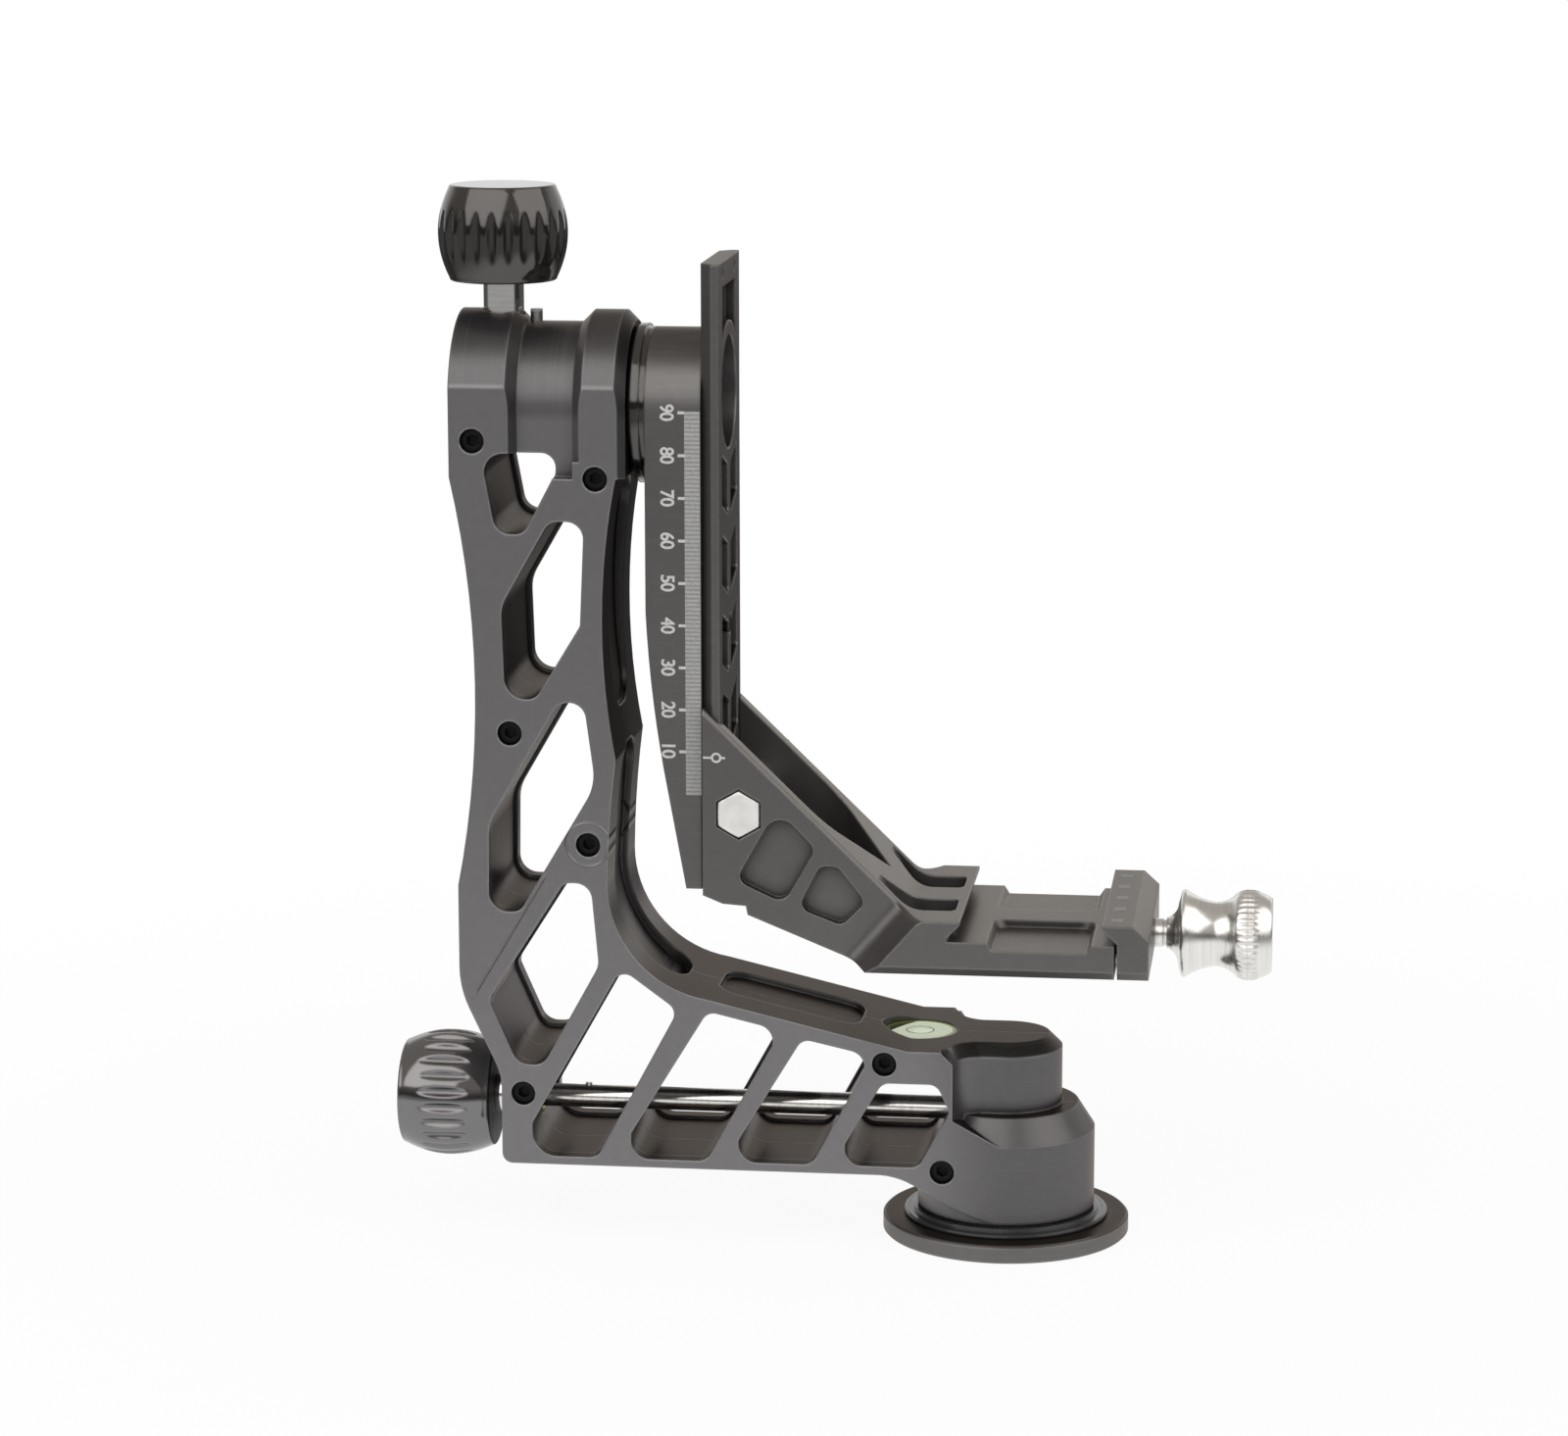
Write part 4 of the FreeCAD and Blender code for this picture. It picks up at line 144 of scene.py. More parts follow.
class GIMBAL_PG_finishes(bpy.types.PropertyGroup):
    """Colours and gloss of the metal, plastic and glass."""

    frame_grey: colour("Frame grey", "Satin anodised finish of the L-shaped frame", (0.206, 0.201, 0.207))
    arm_grey: colour("Arm grey", "Satin anodised finish of the swing arm and rail", (0.152, 0.148, 0.147))
    carriage_grey: colour("Carriage grey", "Satin anodised finish of the carriage and jaw",
                          (0.146, 0.141, 0.140))
    disc_grey: colour("Disc grey", "Satin finish of the base disc", (0.155, 0.150, 0.148))
    # painted shade: the dark brown that faces looking up and deep corners are mixed towards; faint random
    # clouds take a little of it too
    brown_cast: colour("Brown shade and cast", "Warm cast of the anodised layer", (0.034, 0.027, 0.022))
    knob_black: colour("Knob black", "Gloss black plating of the upper knob", (0.092, 0.087, 0.084))
    pan_knob_black: colour("Pan knob black", "Gloss black plating of the pan knob", (0.20, 0.195, 0.197))
    # painted shade: the near-black of the knobs' inner faces, which look at the frame
    knob_matt: colour("Inner face shade", "Matt black of the knobs' inner faces", (0.02, 0.02, 0.02))
    steel: colour("Polished steel", "Turned and polished steel", (0.82, 0.81, 0.78))
    zinc: colour("Bright zinc", "Bright face of the hexagonal bolt", (0.90, 0.90, 0.88))
    # black oxide made darker than the oxide alone: painted shade for the screws sunk in deep holes
    black_oxide: colour("Black oxide and shade", "Chemically blackened screws", (0.003, 0.003, 0.003))
    ground_steel: colour("Ground steel", "Bearings, pins and spindle", (0.50, 0.50, 0.50))
    brass: colour("Brass", "Threaded bushes and brake shoes", (0.72, 0.55, 0.27))
    slide_white: colour("Slide white", "Sliding washer", (0.80, 0.79, 0.75))
    ring_black: colour("Ring black", "Gloss black dust ring", (0.02, 0.02, 0.021))
    satin_roughness: share("Satin roughness", "Roughness of the anodised finish", 0.36)
    satin_metal: share("Satin metal", "How metallic the anodised finish looks", 0.8)
    grazing_tint: colour("Grazing tint", "Colour of the frame and arm seen along a face", (0.68, 0.63, 0.59))
    carriage_tint: colour("Carriage tint", "Colour of the carriage seen along a face", (1.0, 0.95, 0.90))
    crease_shade: share("Crease shade", "How dark the anodised finish is deep in pockets and corners", 0.75)
    crease_reach: length("Crease reach", "How far the shade of a corner reaches", 4.0 * MM)
    gloss_roughness: share("Gloss roughness", "Roughness of the plated knobs", 0.07)
    steel_roughness: share("Steel roughness", "Roughness of the polished steel", 0.16)
    # wear and painted highlight: edges are made lighter, as if worn and catching the light
    edge_wear: share("Edge wear and highlight", "How much lighter worn edges are", 0.7)
    edge_width: length("Edge width", "Width of the softened edges", 0.8 * MM)


class GIMBAL_PG_knobs(bpy.types.PropertyGroup):
    """Sizes of the two lock knobs and of the clamp's knob."""

    flutes: number_of("Flutes", "Flutes round a lock knob", 24)
    flute_depth: length("Flute depth", "Depth of a flute at its middle", 1.1 * MM)
    flute_width: length("Flute width", "Width of a flute at its middle", 2.6 * MM)
    flute_length: length("Flute length", "Length of a flute", 12.4 * MM)
    flute_middle: length("Flute middle", "From the knob's inner face to the middle of a flute", 10.9 * MM)
    end_radius: length("End radius", "Radius of a lock knob at its ends", 12.7 * MM)
    edge: length("Edge", "Rounding of a lock knob's ends", 0.7 * MM)
    bore_radius: length("Bore radius", "Radius of the hole for the lock's rod", 2.82 * MM)
    knurls: number_of("Knurls", "Grooves round the clamp knob", 40)
    knurl_depth: length("Knurl depth", "Depth of a groove of the knurled band", 0.38 * MM)
    knurl_width: length("Knurl width", "Width of a groove of the knurled band", 1.0 * MM)
    knurl_start: length("Knurl start", "From the clamp knob's inner face to the knurled band", 16.7 * MM)
    knurl_length: length("Knurl length", "Length of the knurled band", 5.2 * MM)


class GIMBAL_PG_marks(bpy.types.PropertyGroup):
    """Sizes and colours of the scale and the other marks."""

    mark_white: colour("Mark white", "Engraved and filled numerals and lines", (0.56, 0.56, 0.55))
    scale_grey: colour("Scale grey", "Ground of the millimetre band", (0.26, 0.26, 0.257))
    tick_grey: colour("Tick grey", "Millimetre lines", (0.37, 0.37, 0.365))
    zero_height: length("Zero height", "Height of the scale's zero", 108.9 * MM)
    band_left: length("Band inner offset", "From the arm's rail edge back to the band's far side", 3.75 * MM)
    band_right: length("Band outer offset", "From the arm's rail edge back to the band's near side", 0.1 * MM)
    long_tick: length("Long line", "Length of a ten-millimetre line", 5.3 * MM)
    digit_height: length("Digit height", "Height of a numeral", 3.35 * MM)
    number_length: length("Number length", "Length of a two-figure number", 3.9 * MM)
    proud: length("Paint thickness", "How far the paint stands proud of the metal", 0.03 * MM)


class GIMBAL_PG_level(bpy.types.PropertyGroup):
    """Colours and sizes of the bubble level."""

    liquid: colour("Liquid", "Pale green of the liquid at the middle", (0.80, 0.91, 0.60))
    liquid_rim: colour("Liquid rim", "Deeper green towards the rim", (0.48, 0.64, 0.07))
    cup: colour("Cup", "Translucent green of the cup", (0.50, 0.62, 0.10))
    bubble_radius: length("Bubble radius", "Radius of the air bubble", 2.5 * MM)
    ring_radius: length("Ring radius", "Radius of the printed ring", 3.3 * MM)
    ring_width: length("Ring width", "Width of the printed ring", 0.28 * MM)


class GIMBAL_PG_studio(bpy.types.PropertyGroup):
    """Floor, backdrop, lamps and camera."""

    floor: colour("Floor", "Pale floor", (0.90, 0.90, 0.895))
    ceiling: colour("Ceiling", "Warm ceiling above the set", (0.42, 0.395, 0.365))
    room: colour("Room", "Dark room in front of and beside the set", (0.045, 0.042, 0.040))
    ambient: share("Ambient", "Even light from all sides", 0.42)
    left_box: share("Left soft box", "Brightness of the soft box on the left of the camera", 1.5, 10.0)
    right_box: share("Right soft box", "Brightness of the soft box on the right", 1.4, 10.0)


def settings(group):
    """One of the groups of settings: finishes, knobs, marks, level or studio."""
    return getattr(bpy.context.scene, "gimbal_" + group)


# ---------------------------------------------------------------- meshes from arrays

def piece(name, points, quads, triangles, material, body, slot, sharp=40.0):
    """Mesh object from whole arrays: points (n, 3), quads (m, 4) and triangles (k, 3) of point numbers.

    The signed volume of the faces, a sum of triple products, says whether they point outwards; if it
    is negative every face is turned round.
    """
    points = np.asarray(points, np.float64)
    quads = np.asarray(quads, np.int32).reshape(-1, 4)
    triangles = np.asarray(triangles, np.int32).reshape(-1, 3)
    parts = np.concatenate([quads[:, [0, 1, 2]], quads[:, [0, 2, 3]], triangles])
    a, b, c = (points[parts[:, i]] - points.mean(0) for i in range(3))
    if np.einsum("ij,ij->i", a, np.cross(b, c)).sum() < 0:
        quads, triangles = quads[:, ::-1], triangles[:, ::-1]
    mesh = bpy.data.meshes.new(name)
    mesh.vertices.add(len(points))
    mesh.vertices.foreach_set("co", points.astype(np.float32).ravel())
    mesh.loops.add(quads.size + triangles.size)
    mesh.loops.foreach_set("vertex_index", np.concatenate([quads.ravel(), triangles.ravel()]))
    mesh.polygons.add(len(quads) + len(triangles))
    starts = np.concatenate([np.arange(len(quads)) * 4, quads.size + np.arange(len(triangles)) * 3])
    mesh.polygons.foreach_set("loop_start", starts.astype(np.int32))
    mesh.update(calc_edges=True)
    mesh.validate()
    mesh.polygons.foreach_set("use_smooth", np.ones(len(mesh.polygons), bool))
    mesh.set_sharp_from_angle(angle=math.radians(sharp))
    return dress(bpy.data.objects.new(name, mesh), material, body)


def dress(thing, material, body):
    """Links a finished object, gives it its material, and lets it ride on a body."""
    bpy.context.scene.collection.objects.link(thing)
    thing.data.materials.clear()
    thing.data.materials.append(material)
    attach(thing, body)
    return thing


def spread(x, y, z):
    """Points from three coordinates, each an array or one number for all."""
    return np.stack(np.broadcast_arrays(x, y, z), -1)


def round_angles(grooves, each):
    """Angles round a knob, each so many to a groove, and their turn from the nearest groove, as rows."""
    pitch = 2 * np.pi / grooves
    a = np.arange(grooves * each)[None, :] * 2 * np.pi / (grooves * each)
    return a, (a + pitch / 2) % pitch - pitch / 2


def ring_quads(rows, columns, closed=False):
    """Quads that join each ring of points to the next, and with closed the last ring to the first."""
    row, column = np.meshgrid(np.arange(rows if closed else rows - 1), np.arange(columns), indexing="ij")
    above, beside = (row + 1) % rows, (column + 1) % columns
    return np.stack([row * columns + column, row * columns + beside, above * columns + beside,
                     above * columns + column], -1).reshape(-1, 4)


def closed_rings(rings, first, last):
    """Points, quads and triangles of a surface of rings (rows, columns, 3) between two poles.

    Row i and row i + 1 are joined by quads that run round the ring and meet themselves, and each end
    row is joined to its pole by a fan of triangles.
    """
    rows, columns = rings.shape[:2]
    points = np.concatenate([rings.reshape(-1, 3), [first], [last]])
    around = np.arange(columns)
    after = (around + 1) % columns
    foot = np.full(columns, rows * columns)
    base = (rows - 1) * columns
    triangles = np.concatenate([np.stack([foot, after, around], -1),
                                np.stack([foot + 1, base + around, base + after], -1)])
    return points, ring_quads(rows, columns), triangles


def tube_ring(radius, half_width, thickness, columns):
    """Flat ring lying level: an oval cross-section carried round a circle.

    The section's angle t gives the place half_width * cos t across and thickness * sin t up, and the
    circle's angle gives where the section stands. Both angles close on themselves.
    """
    rows = 12
    t = np.linspace(0, 2 * np.pi, rows, endpoint=False)[:, None]
    a = np.linspace(0, 2 * np.pi, columns, endpoint=False)[None, :]
    out = radius + half_width * np.cos(t)
    rings = spread(out * np.cos(a), out * np.sin(a), thickness * np.sin(t))
    return rings.reshape(-1, 3), ring_quads(rows, columns, closed=True), np.zeros((0, 3), np.int32)


def bars(low, high):
    """Many thin bars at once: low and high corners (n, 3) give eight points and six quads for each."""
    low, high = np.atleast_2d(low), np.atleast_2d(high)
    pick = np.array([[0, 0, 0], [1, 0, 0], [1, 1, 0], [0, 1, 0], [0, 0, 1], [1, 0, 1], [1, 1, 1], [0, 1, 1]])
    points = low[:, None, :] + pick[None] * (high - low)[:, None, :]
    sides = np.array([[0, 3, 2, 1], [4, 5, 6, 7], [0, 1, 5, 4], [1, 2, 6, 5], [2, 3, 7, 6], [3, 0, 4, 7]])
    quads = (np.arange(len(low)) * 8)[:, None, None] + sides[None]
    return points.reshape(-1, 3), quads.reshape(-1, 4), np.zeros((0, 3), np.int32)


def soft_max(value, softness):
    """Smooth stand-in for the larger of a value and zero: half of value plus root of value² + softness²."""
    return 0.5 * (value + np.sqrt(value * value + softness * softness))


def groove_depth(across, along, depth, width, reach):
    """Depth of a groove milled by a ball into a bulging side.

    It is the depth times (1 - (along / half length)²) less the rise of a parabola across it, and never
    less than nothing, so the groove has an oval outline, and a straight floor where the side bulges.
    """
    rise = depth * (2 * across / width) ** 2
    value = depth * (1 - (2 * along / reach) ** 2) - rise
    return soft_max(value, 0.05 * depth) * (np.abs(2 * along / reach) < 1.15)


def along_arc(start, middle, end, count):
    """Points of the circle through three points, at equal angles from the first to the last.

    The centre is where the perpendicular bisectors of the two chords meet.
    """
    p, q, r = (np.array(v, float) for v in (start, middle, end))
    sides = np.array([q - p, r - q])
    centre = np.linalg.solve(sides, np.einsum("ij,ij->i", sides, [(p + q) / 2, (q + r) / 2]))
    angles = np.unwrap([math.atan2(*(v - centre)[::-1]) for v in (p, q, r)])
    turn = np.linspace(angles[0], angles[2], count)
    reach = np.linalg.norm(p - centre)
    return centre + reach * np.stack([np.cos(turn), np.sin(turn)], -1)


# ---------------------------------------------------------------- finishes

class Nodes:
    """Short ways to add and join the nodes of a material or of the world."""

    def __init__(self, tree):
        self.tree = tree

    def add(self, kind, **inputs):
        """New node with its inputs set; an underscore in an input's name stands for a space."""
        node = self.tree.nodes.new(kind)
        for name, value in inputs.items():
            self.set(node.inputs[name.replace("_", " ")], value)
        return node

    def set(self, socket, value):
        """Joins a socket to another node's output, or gives it a plain value."""
        if isinstance(value, bpy.types.NodeSocket):
            self.tree.links.new(value, socket)
        elif hasattr(value, "__len__"):
            value = tuple(value)
            socket.default_value = (*value, 1.0) if len(value) == 3 and socket.type == "RGBA" else value
        else:
            socket.default_value = value

    def operate(self, operation, *values):
        """Arithmetic on one or two numbers."""
        node = self.tree.nodes.new("ShaderNodeMath")
        node.operation = operation
        for socket, value in zip(node.inputs, values):
            self.set(socket, value)
        return node.outputs[0]

    def plus(self, first, second):
        return self.operate("ADD", first, second)

    def minus(self, first, second):
        return self.operate("SUBTRACT", first, second)

    def times(self, first, second):
        return self.operate("MULTIPLY", first, second)

    def larger(self, first, second):
        return self.operate("MAXIMUM", first, second)

    def size_of(self, value):
        return self.operate("ABSOLUTE", value)

    def reach(self, first, second):
        """Distance from an axis: the root of the sum of two squares."""
        return self.operate("SQRT", self.plus(self.times(first, first), self.times(second, second)))

    def ramp(self, value, low, high, to_low=0.0, to_high=1.0):
        """Smooth step: to_low where the value is low, to_high where it is high."""
        node = self.add("ShaderNodeMapRange", Value=value, From_Min=low, From_Max=high, To_Min=to_low,
                        To_Max=to_high)
        node.interpolation_type = "SMOOTHSTEP"
        return node.outputs["Result"]

    def mix(self, share_of_second, first, second):
        """Mix of two colours."""
        node = self.tree.nodes.new("ShaderNodeMix")
        node.data_type = "RGBA"
        for number, value in ((0, share_of_second), (6, first), (7, second)):
            self.set(node.inputs[number], value)
        return node.outputs[2]

    def blend(self, share_of_second, first, second):
        """Mix of two shaders."""
        node = self.tree.nodes.new("ShaderNodeMixShader")
        for socket, value in zip(node.inputs, (share_of_second, first, second)):
            self.set(socket, value)
        return node.outputs[0]

    def split(self, vector):
        """X, Y and Z of a vector."""
        return self.add("ShaderNodeSeparateXYZ", Vector=vector).outputs


class Finish(Nodes):
    """A new material, which reads its place on the piece from Object coordinates."""

    def __init__(self, name):
        self.material = bpy.data.materials.new(name)
        self.material.use_nodes = True
        super().__init__(self.material.node_tree)
        self.shader = self.tree.nodes["Principled BSDF"]
        self.place = self.add("ShaderNodeTexCoord").outputs["Object"]

    def shaded(self, **inputs):
        """Sets inputs of the material's shader, and gives back the material."""
        for name, value in inputs.items():
            self.set(self.shader.inputs[name.replace("_", " ")], value)
        return self.material

    def facing(self):
        """X, Y and Z of the way the surface faces, on the piece itself."""
        return self.split(self.add("ShaderNodeTexCoord").outputs["Normal"])

    def stretched(self, scale, offset=(0.0, 0.0, 0.0)):
        """Object coordinates moved by an offset and then scaled along each axis."""
        moved = self.add("ShaderNodeMapping", Vector=self.place, Scale=scale,
                         Location=tuple(-o * s for o, s in zip(offset, scale)))
        moved.vector_type = "POINT"
        return moved.outputs[0]

    def noise(self, scale, detail, place=None):
        """Soft noise from 0 to 1, by place on the piece or by another place."""
        return self.add("ShaderNodeTexNoise", Vector=place or self.place, Scale=scale,
                        Detail=detail).outputs["Fac"]

    def bump(self, height, strength, distance, normal=None):
        """Normal that leans as if the surface rose by a height from 0 to 1 times the distance."""
        node = self.add("ShaderNodeBump", Strength=strength, Distance=distance, Height=height)
        if normal is not None:
            self.set(node.inputs["Normal"], normal)
        return node.outputs[0]

    def edges(self, width):
        """Softened edges: the bevelled normal, and a mask that is 1 where it leaves the true one."""
        soft = self.add("ShaderNodeBevel", Radius=width)
        soft.samples = 4
        dot = self.tree.nodes.new("ShaderNodeVectorMath")
        dot.operation = "DOT_PRODUCT"
        self.set(dot.inputs[0], soft.outputs[0])
        self.set(dot.inputs[1], self.add("ShaderNodeNewGeometry").outputs["Normal"])
        return soft.outputs[0], self.ramp(dot.outputs["Value"], 0.99, 0.86)

    def corners(self, distance):
        """How open the room near a place is, from 0 deep in a corner to 1 on a free face."""
        room = self.add("ShaderNodeAmbientOcclusion", Distance=distance)
        room.samples, room.only_local = 4, True
        return room.outputs["AO"]


def lighter(grey, times):
    """A colour with each part multiplied by a number, and kept at or under 1."""
    return tuple(min(1.0, c * times) for c in grey)


def anodised(name, grey, tint, lines=(), marks=(), plain=None):
    """Satin anodised aluminium: fine blasted grain, faint warm clouds, painted brown shade on faces that
    look up, and edges lighter by wear and by a painted highlight.

    lines are triples of a place, a mask and a share: turning lines run where the mask is 1, and the
    metal there keeps that share of its grey and is mixed towards near-black painted shade for the rest.
    marks are scribed features that dent the surface. The painted brown shade on upward faces is weaker
    where plain is 1. Pockets and corners get painted shade, by how much of the near room they hide.
    """
    finishes = settings("finishes")
    f = Finish(name)
    soft, worn_and_highlit = f.edges(finishes.edge_width)
    cloud, speckle, grain = f.noise(28.0, 3.0), f.noise(420.0, 3.0), f.noise(3800.0, 2.0)
    # painted shade: faces that look up are mixed towards the dark brown, less where plain is 1, and faint
    # random clouds add a little of it everywhere
    upward = f.ramp(f.facing()[2], 0.45, 0.85)
    if plain is not None:
        upward = f.times(upward, f.minus(1.0, f.times(plain(f), 0.6)))
    warm = f.plus(f.times(upward, 0.9), f.times(f.ramp(cloud, 0.40, 0.68), 0.06))
    tone = f.mix(f.ramp(speckle, 0.35, 0.75), grey, lighter(grey, 1.05))
    tone = f.mix(warm, tone, finishes.brown_cast)
    height = grain
    for place, mask, kept in lines:
        streak, inside = f.noise(1.0, 2.0, place(f)), mask(f)
        tone = f.mix(f.times(inside, f.ramp(streak, 0.52, 0.72, 0.0, 0.22)), tone, lighter(grey, 1.3))
        # painted shade: where the mask is 1 the grey is mixed towards near-black, keeping only the given
        # share
        tone = f.mix(f.times(inside, 1.0 - kept), tone, PAINTED_SHADE)
        height = f.plus(height, f.times(inside, streak))
    # edges lighter: wear and a painted highlight
    tone = f.mix(f.times(worn_and_highlit, finishes.edge_wear), tone, lighter(grey, 1.9))
    shade = f.times(f.ramp(f.corners(finishes.crease_reach), 0.95, 0.35), finishes.crease_shade)
    tone = f.mix(shade, tone, lighter(finishes.brown_cast, 0.3))
    rough = f.ramp(grain, 0.3, 0.7, finishes.satin_roughness - 0.03, finishes.satin_roughness + 0.05)
    normal = f.bump(height, 0.07, 0.05 * MM, soft)
    for dent in marks:
        normal = f.bump(dent(f), 0.9, 0.4 * MM, normal)
    return f.shaded(Base_Color=tone, Metallic=finishes.satin_metal, Roughness=rough, Normal=normal,
                    Specular_Tint=tint)


def turned_about(axis, centre, scale):
    """Place for turning lines: the distance from an axis and the height along it, both times a scale."""
    def place(f):
        p = f.split(f.stretched((1.0, 1.0, 1.0), centre))
        reach = f.reach(*(p[i] for i in range(3) if i != axis))
        return f.add("ShaderNodeCombineXYZ", X=f.times(reach, scale), Y=f.times(p[axis], scale)).outputs[0]
    return place


def drawn_along(scale):
    """Place for lines along the grain: object coordinates stretched by a scale for each axis."""
    return lambda f: f.stretched(scale)


def everywhere(f):
    """Mask that is 1 on the whole piece."""
    return f.ramp(f.split(f.place)[2], -1.0, -0.9)


def on_housing(f):
    """Mask that grows to 1 across the round bearing housing, from its side towards the upright."""
    return f.ramp(f.split(f.place)[0], HOUSING_FROM_X, HOUSING_TO_X)


def above_axis(f):
    """Mask that is 1 on the pieces round the tilt axis, by height."""
    return f.ramp(f.split(f.place)[2], TILT_AXIS_Z - 14.9 * MM, TILT_AXIS_Z - 4.9 * MM)


def towards_arm(f):
    """Mask that is 1 on the faces of the upright that look towards the arm, above the corner."""
    return f.times(f.ramp(f.facing()[0], 0.45, 0.8), f.ramp(f.split(f.place)[2], 60.0 * MM, 100.0 * MM))


def on_round_tops(f):
    """Mask that is 1 on the round cheeks and hub: above the tilt axis and behind the flat faces."""
    p = f.split(f.place)
    high = f.ramp(p[2], TILT_AXIS_Z - 2.9 * MM, TILT_AXIS_Z + 1.1 * MM)
    return f.times(high, f.ramp(f.size_of(p[1]), FLAT_FACE_Y, FLAT_FACE_Y - 0.3 * MM))


def scribed_ring(x, z, radius, width):
    """Raised ring on a face that looks along Y: 1 where the distance from (x, z) is near the radius."""
    def height(f):
        across = f.split(f.stretched((1.0, 0.0, 1.0), (x, 0.0, z)))
        return f.ramp(f.size_of(f.minus(f.reach(across[0], across[2]), radius)), width, 0.0)
    return height


def scribed_line(start, end, width, side):
    """Shallow crease along a line in X and Z: 0 on the line and 1 away from it.

    The distance from the line is the dot product of the place with the line's unit normal, and the
    crease is kept only between its ends and on one side of a plane across Y.
    """
    run = np.array(end) - np.array(start)
    reach = float(np.hypot(*run))
    along, across = run / reach, np.array([-run[1], run[0]]) / reach
    fade = 3.0 * MM

    def height(f):
        p = f.split(f.stretched((1.0, 1.0, 1.0), (start[0], 0.0, start[1])))
        off, on = (f.plus(f.times(p[0], float(x)), f.times(p[2], float(z))) for x, z in (across, along))
        near = f.ramp(f.size_of(off), width, 0.0)
        kept = f.times(f.ramp(on, 0.0, fade), f.ramp(on, reach, reach - fade))
        kept = f.times(kept, f.ramp(p[1], side + 0.5 * MM, side))
        return f.minus(1.0, f.times(near, kept))
    return height


def gloss_plated(name, grey, inner=None):
    """Gloss black plating: mirror-like, with faint clouding and hairline polishing marks.

    inner is an axis and two places on it: between the first and the second the gloss gives way to a
    rougher face with painted shade, near-black, on the inner face that looks at the frame.
    """
    finishes = settings("finishes")
    f = Finish(name)
    soft, worn_and_highlit = f.edges(finishes.edge_width)
    hair = f.noise(1.0, 3.0, f.stretched((900.0, 900.0, 60.0)))
    smear = f.noise(90.0, 3.0)
    tone = f.mix(f.ramp(smear, 0.4, 0.7, 0.0, 0.5), grey, lighter(grey, 1.12))
    # edges lighter: wear and a painted highlight
    tone = f.mix(f.times(worn_and_highlit, 0.5), tone, lighter(grey, 2.2))
    rough = f.ramp(f.plus(hair, smear), 0.7, 1.4, finishes.gloss_roughness - 0.02,
                   finishes.gloss_roughness + 0.05)
    if inner is not None:
        axis, full, none = inner
        # painted shade: near-black on the inner face, which looks at the frame; it is rougher there too
        matt = f.ramp(f.split(f.place)[axis], none, full)
        tone = f.mix(matt, tone, finishes.knob_matt)
        rough = f.plus(rough, f.times(matt, 0.5))
    normal = f.bump(hair, 0.03, 0.02 * MM, soft)
    return f.shaded(Base_Color=tone, Metallic=0.9, Roughness=rough, Normal=normal)


def turned_steel(name, bright, lines, roughness, metal=1.0):
    """Turned metal: hairline rings across the stretch's long axis, slightly uneven shine."""
    finishes = settings("finishes")
    f = Finish(name)
    soft, worn_and_highlit = f.edges(finishes.edge_width)
    rings = f.noise(1.0, 3.0, f.stretched(lines))
    smear = f.noise(160.0, 3.0)
    tone = f.mix(f.ramp(rings, 0.35, 0.7), bright, lighter(bright, 0.88))
    # edges lighter: wear and a painted highlight
    tone = f.mix(f.times(worn_and_highlit, 0.3), tone, lighter(bright, 1.25))
    rough = f.ramp(f.plus(rings, smear), 0.7, 1.35, max(0.02, roughness - 0.04), roughness + 0.07)
    normal = f.bump(rings, 0.06, 0.02 * MM, soft)
    return f.shaded(Base_Color=tone, Metallic=metal, Roughness=rough, Normal=normal)


def gloss_plastic(name, tone, second, grain=600.0, roughness=0.16):
    """Moulded plastic: a faint ripple, and two close tones in soft clouds."""
    f = Finish(name)
    soft, worn_and_highlit = f.edges(settings("finishes").edge_width)
    ripple = f.noise(grain, 3.0)
    mixed = f.mix(f.ramp(f.noise(60.0, 3.0), 0.35, 0.7), tone, second)
    # edges lighter: wear and a painted highlight
    mixed = f.mix(f.times(worn_and_highlit, 0.25), mixed, lighter(second, 2.0))
    rough = f.ramp(ripple, 0.3, 0.7, roughness, roughness + 0.1)
    normal = f.bump(ripple, 0.05, 0.05 * MM, soft)
    return f.shaded(Base_Color=mixed, Metallic=0.0, Roughness=rough, Normal=normal)


def filled_paint(name, tone):
    """Paint rubbed into engraved marks: thin, a little patchy, matt."""
    f = Finish(name)
    patch = f.noise(1600.0, 3.0)
    mixed = f.mix(f.ramp(patch, 0.38, 0.72, 0.0, 0.6), tone, lighter(tone, 0.72))
    return f.shaded(Base_Color=mixed, Metallic=0.0, Roughness=f.ramp(patch, 0.3, 0.7, 0.5, 0.65),
                    Normal=f.bump(patch, 0.1, 0.03 * MM))


def level_liquid(name):
    """Level liquid: pale at the middle, deeper green towards the rim, by distance from the axis."""
    level = settings("level")
    f = Finish(name)
    off = f.split(f.stretched((1.0, 1.0, 0.0), (LENS_X, 0.0, 0.0)))
    wobble = f.times(f.minus(f.noise(500.0, 2.0), 0.5), 0.1 * LENS_RADIUS)
    rim = f.ramp(f.plus(f.reach(off[0], off[1]), wobble), 0.25 * LENS_RADIUS, 0.98 * LENS_RADIUS)
    return f.shaded(Base_Color=f.mix(rim, level.liquid, level.liquid_rim), Metallic=0.0, Roughness=0.12,
                    Coat_Weight=0.5, Coat_Roughness=0.03, Normal=f.bump(f.noise(700.0, 2.0), 0.05, 0.04 * MM))


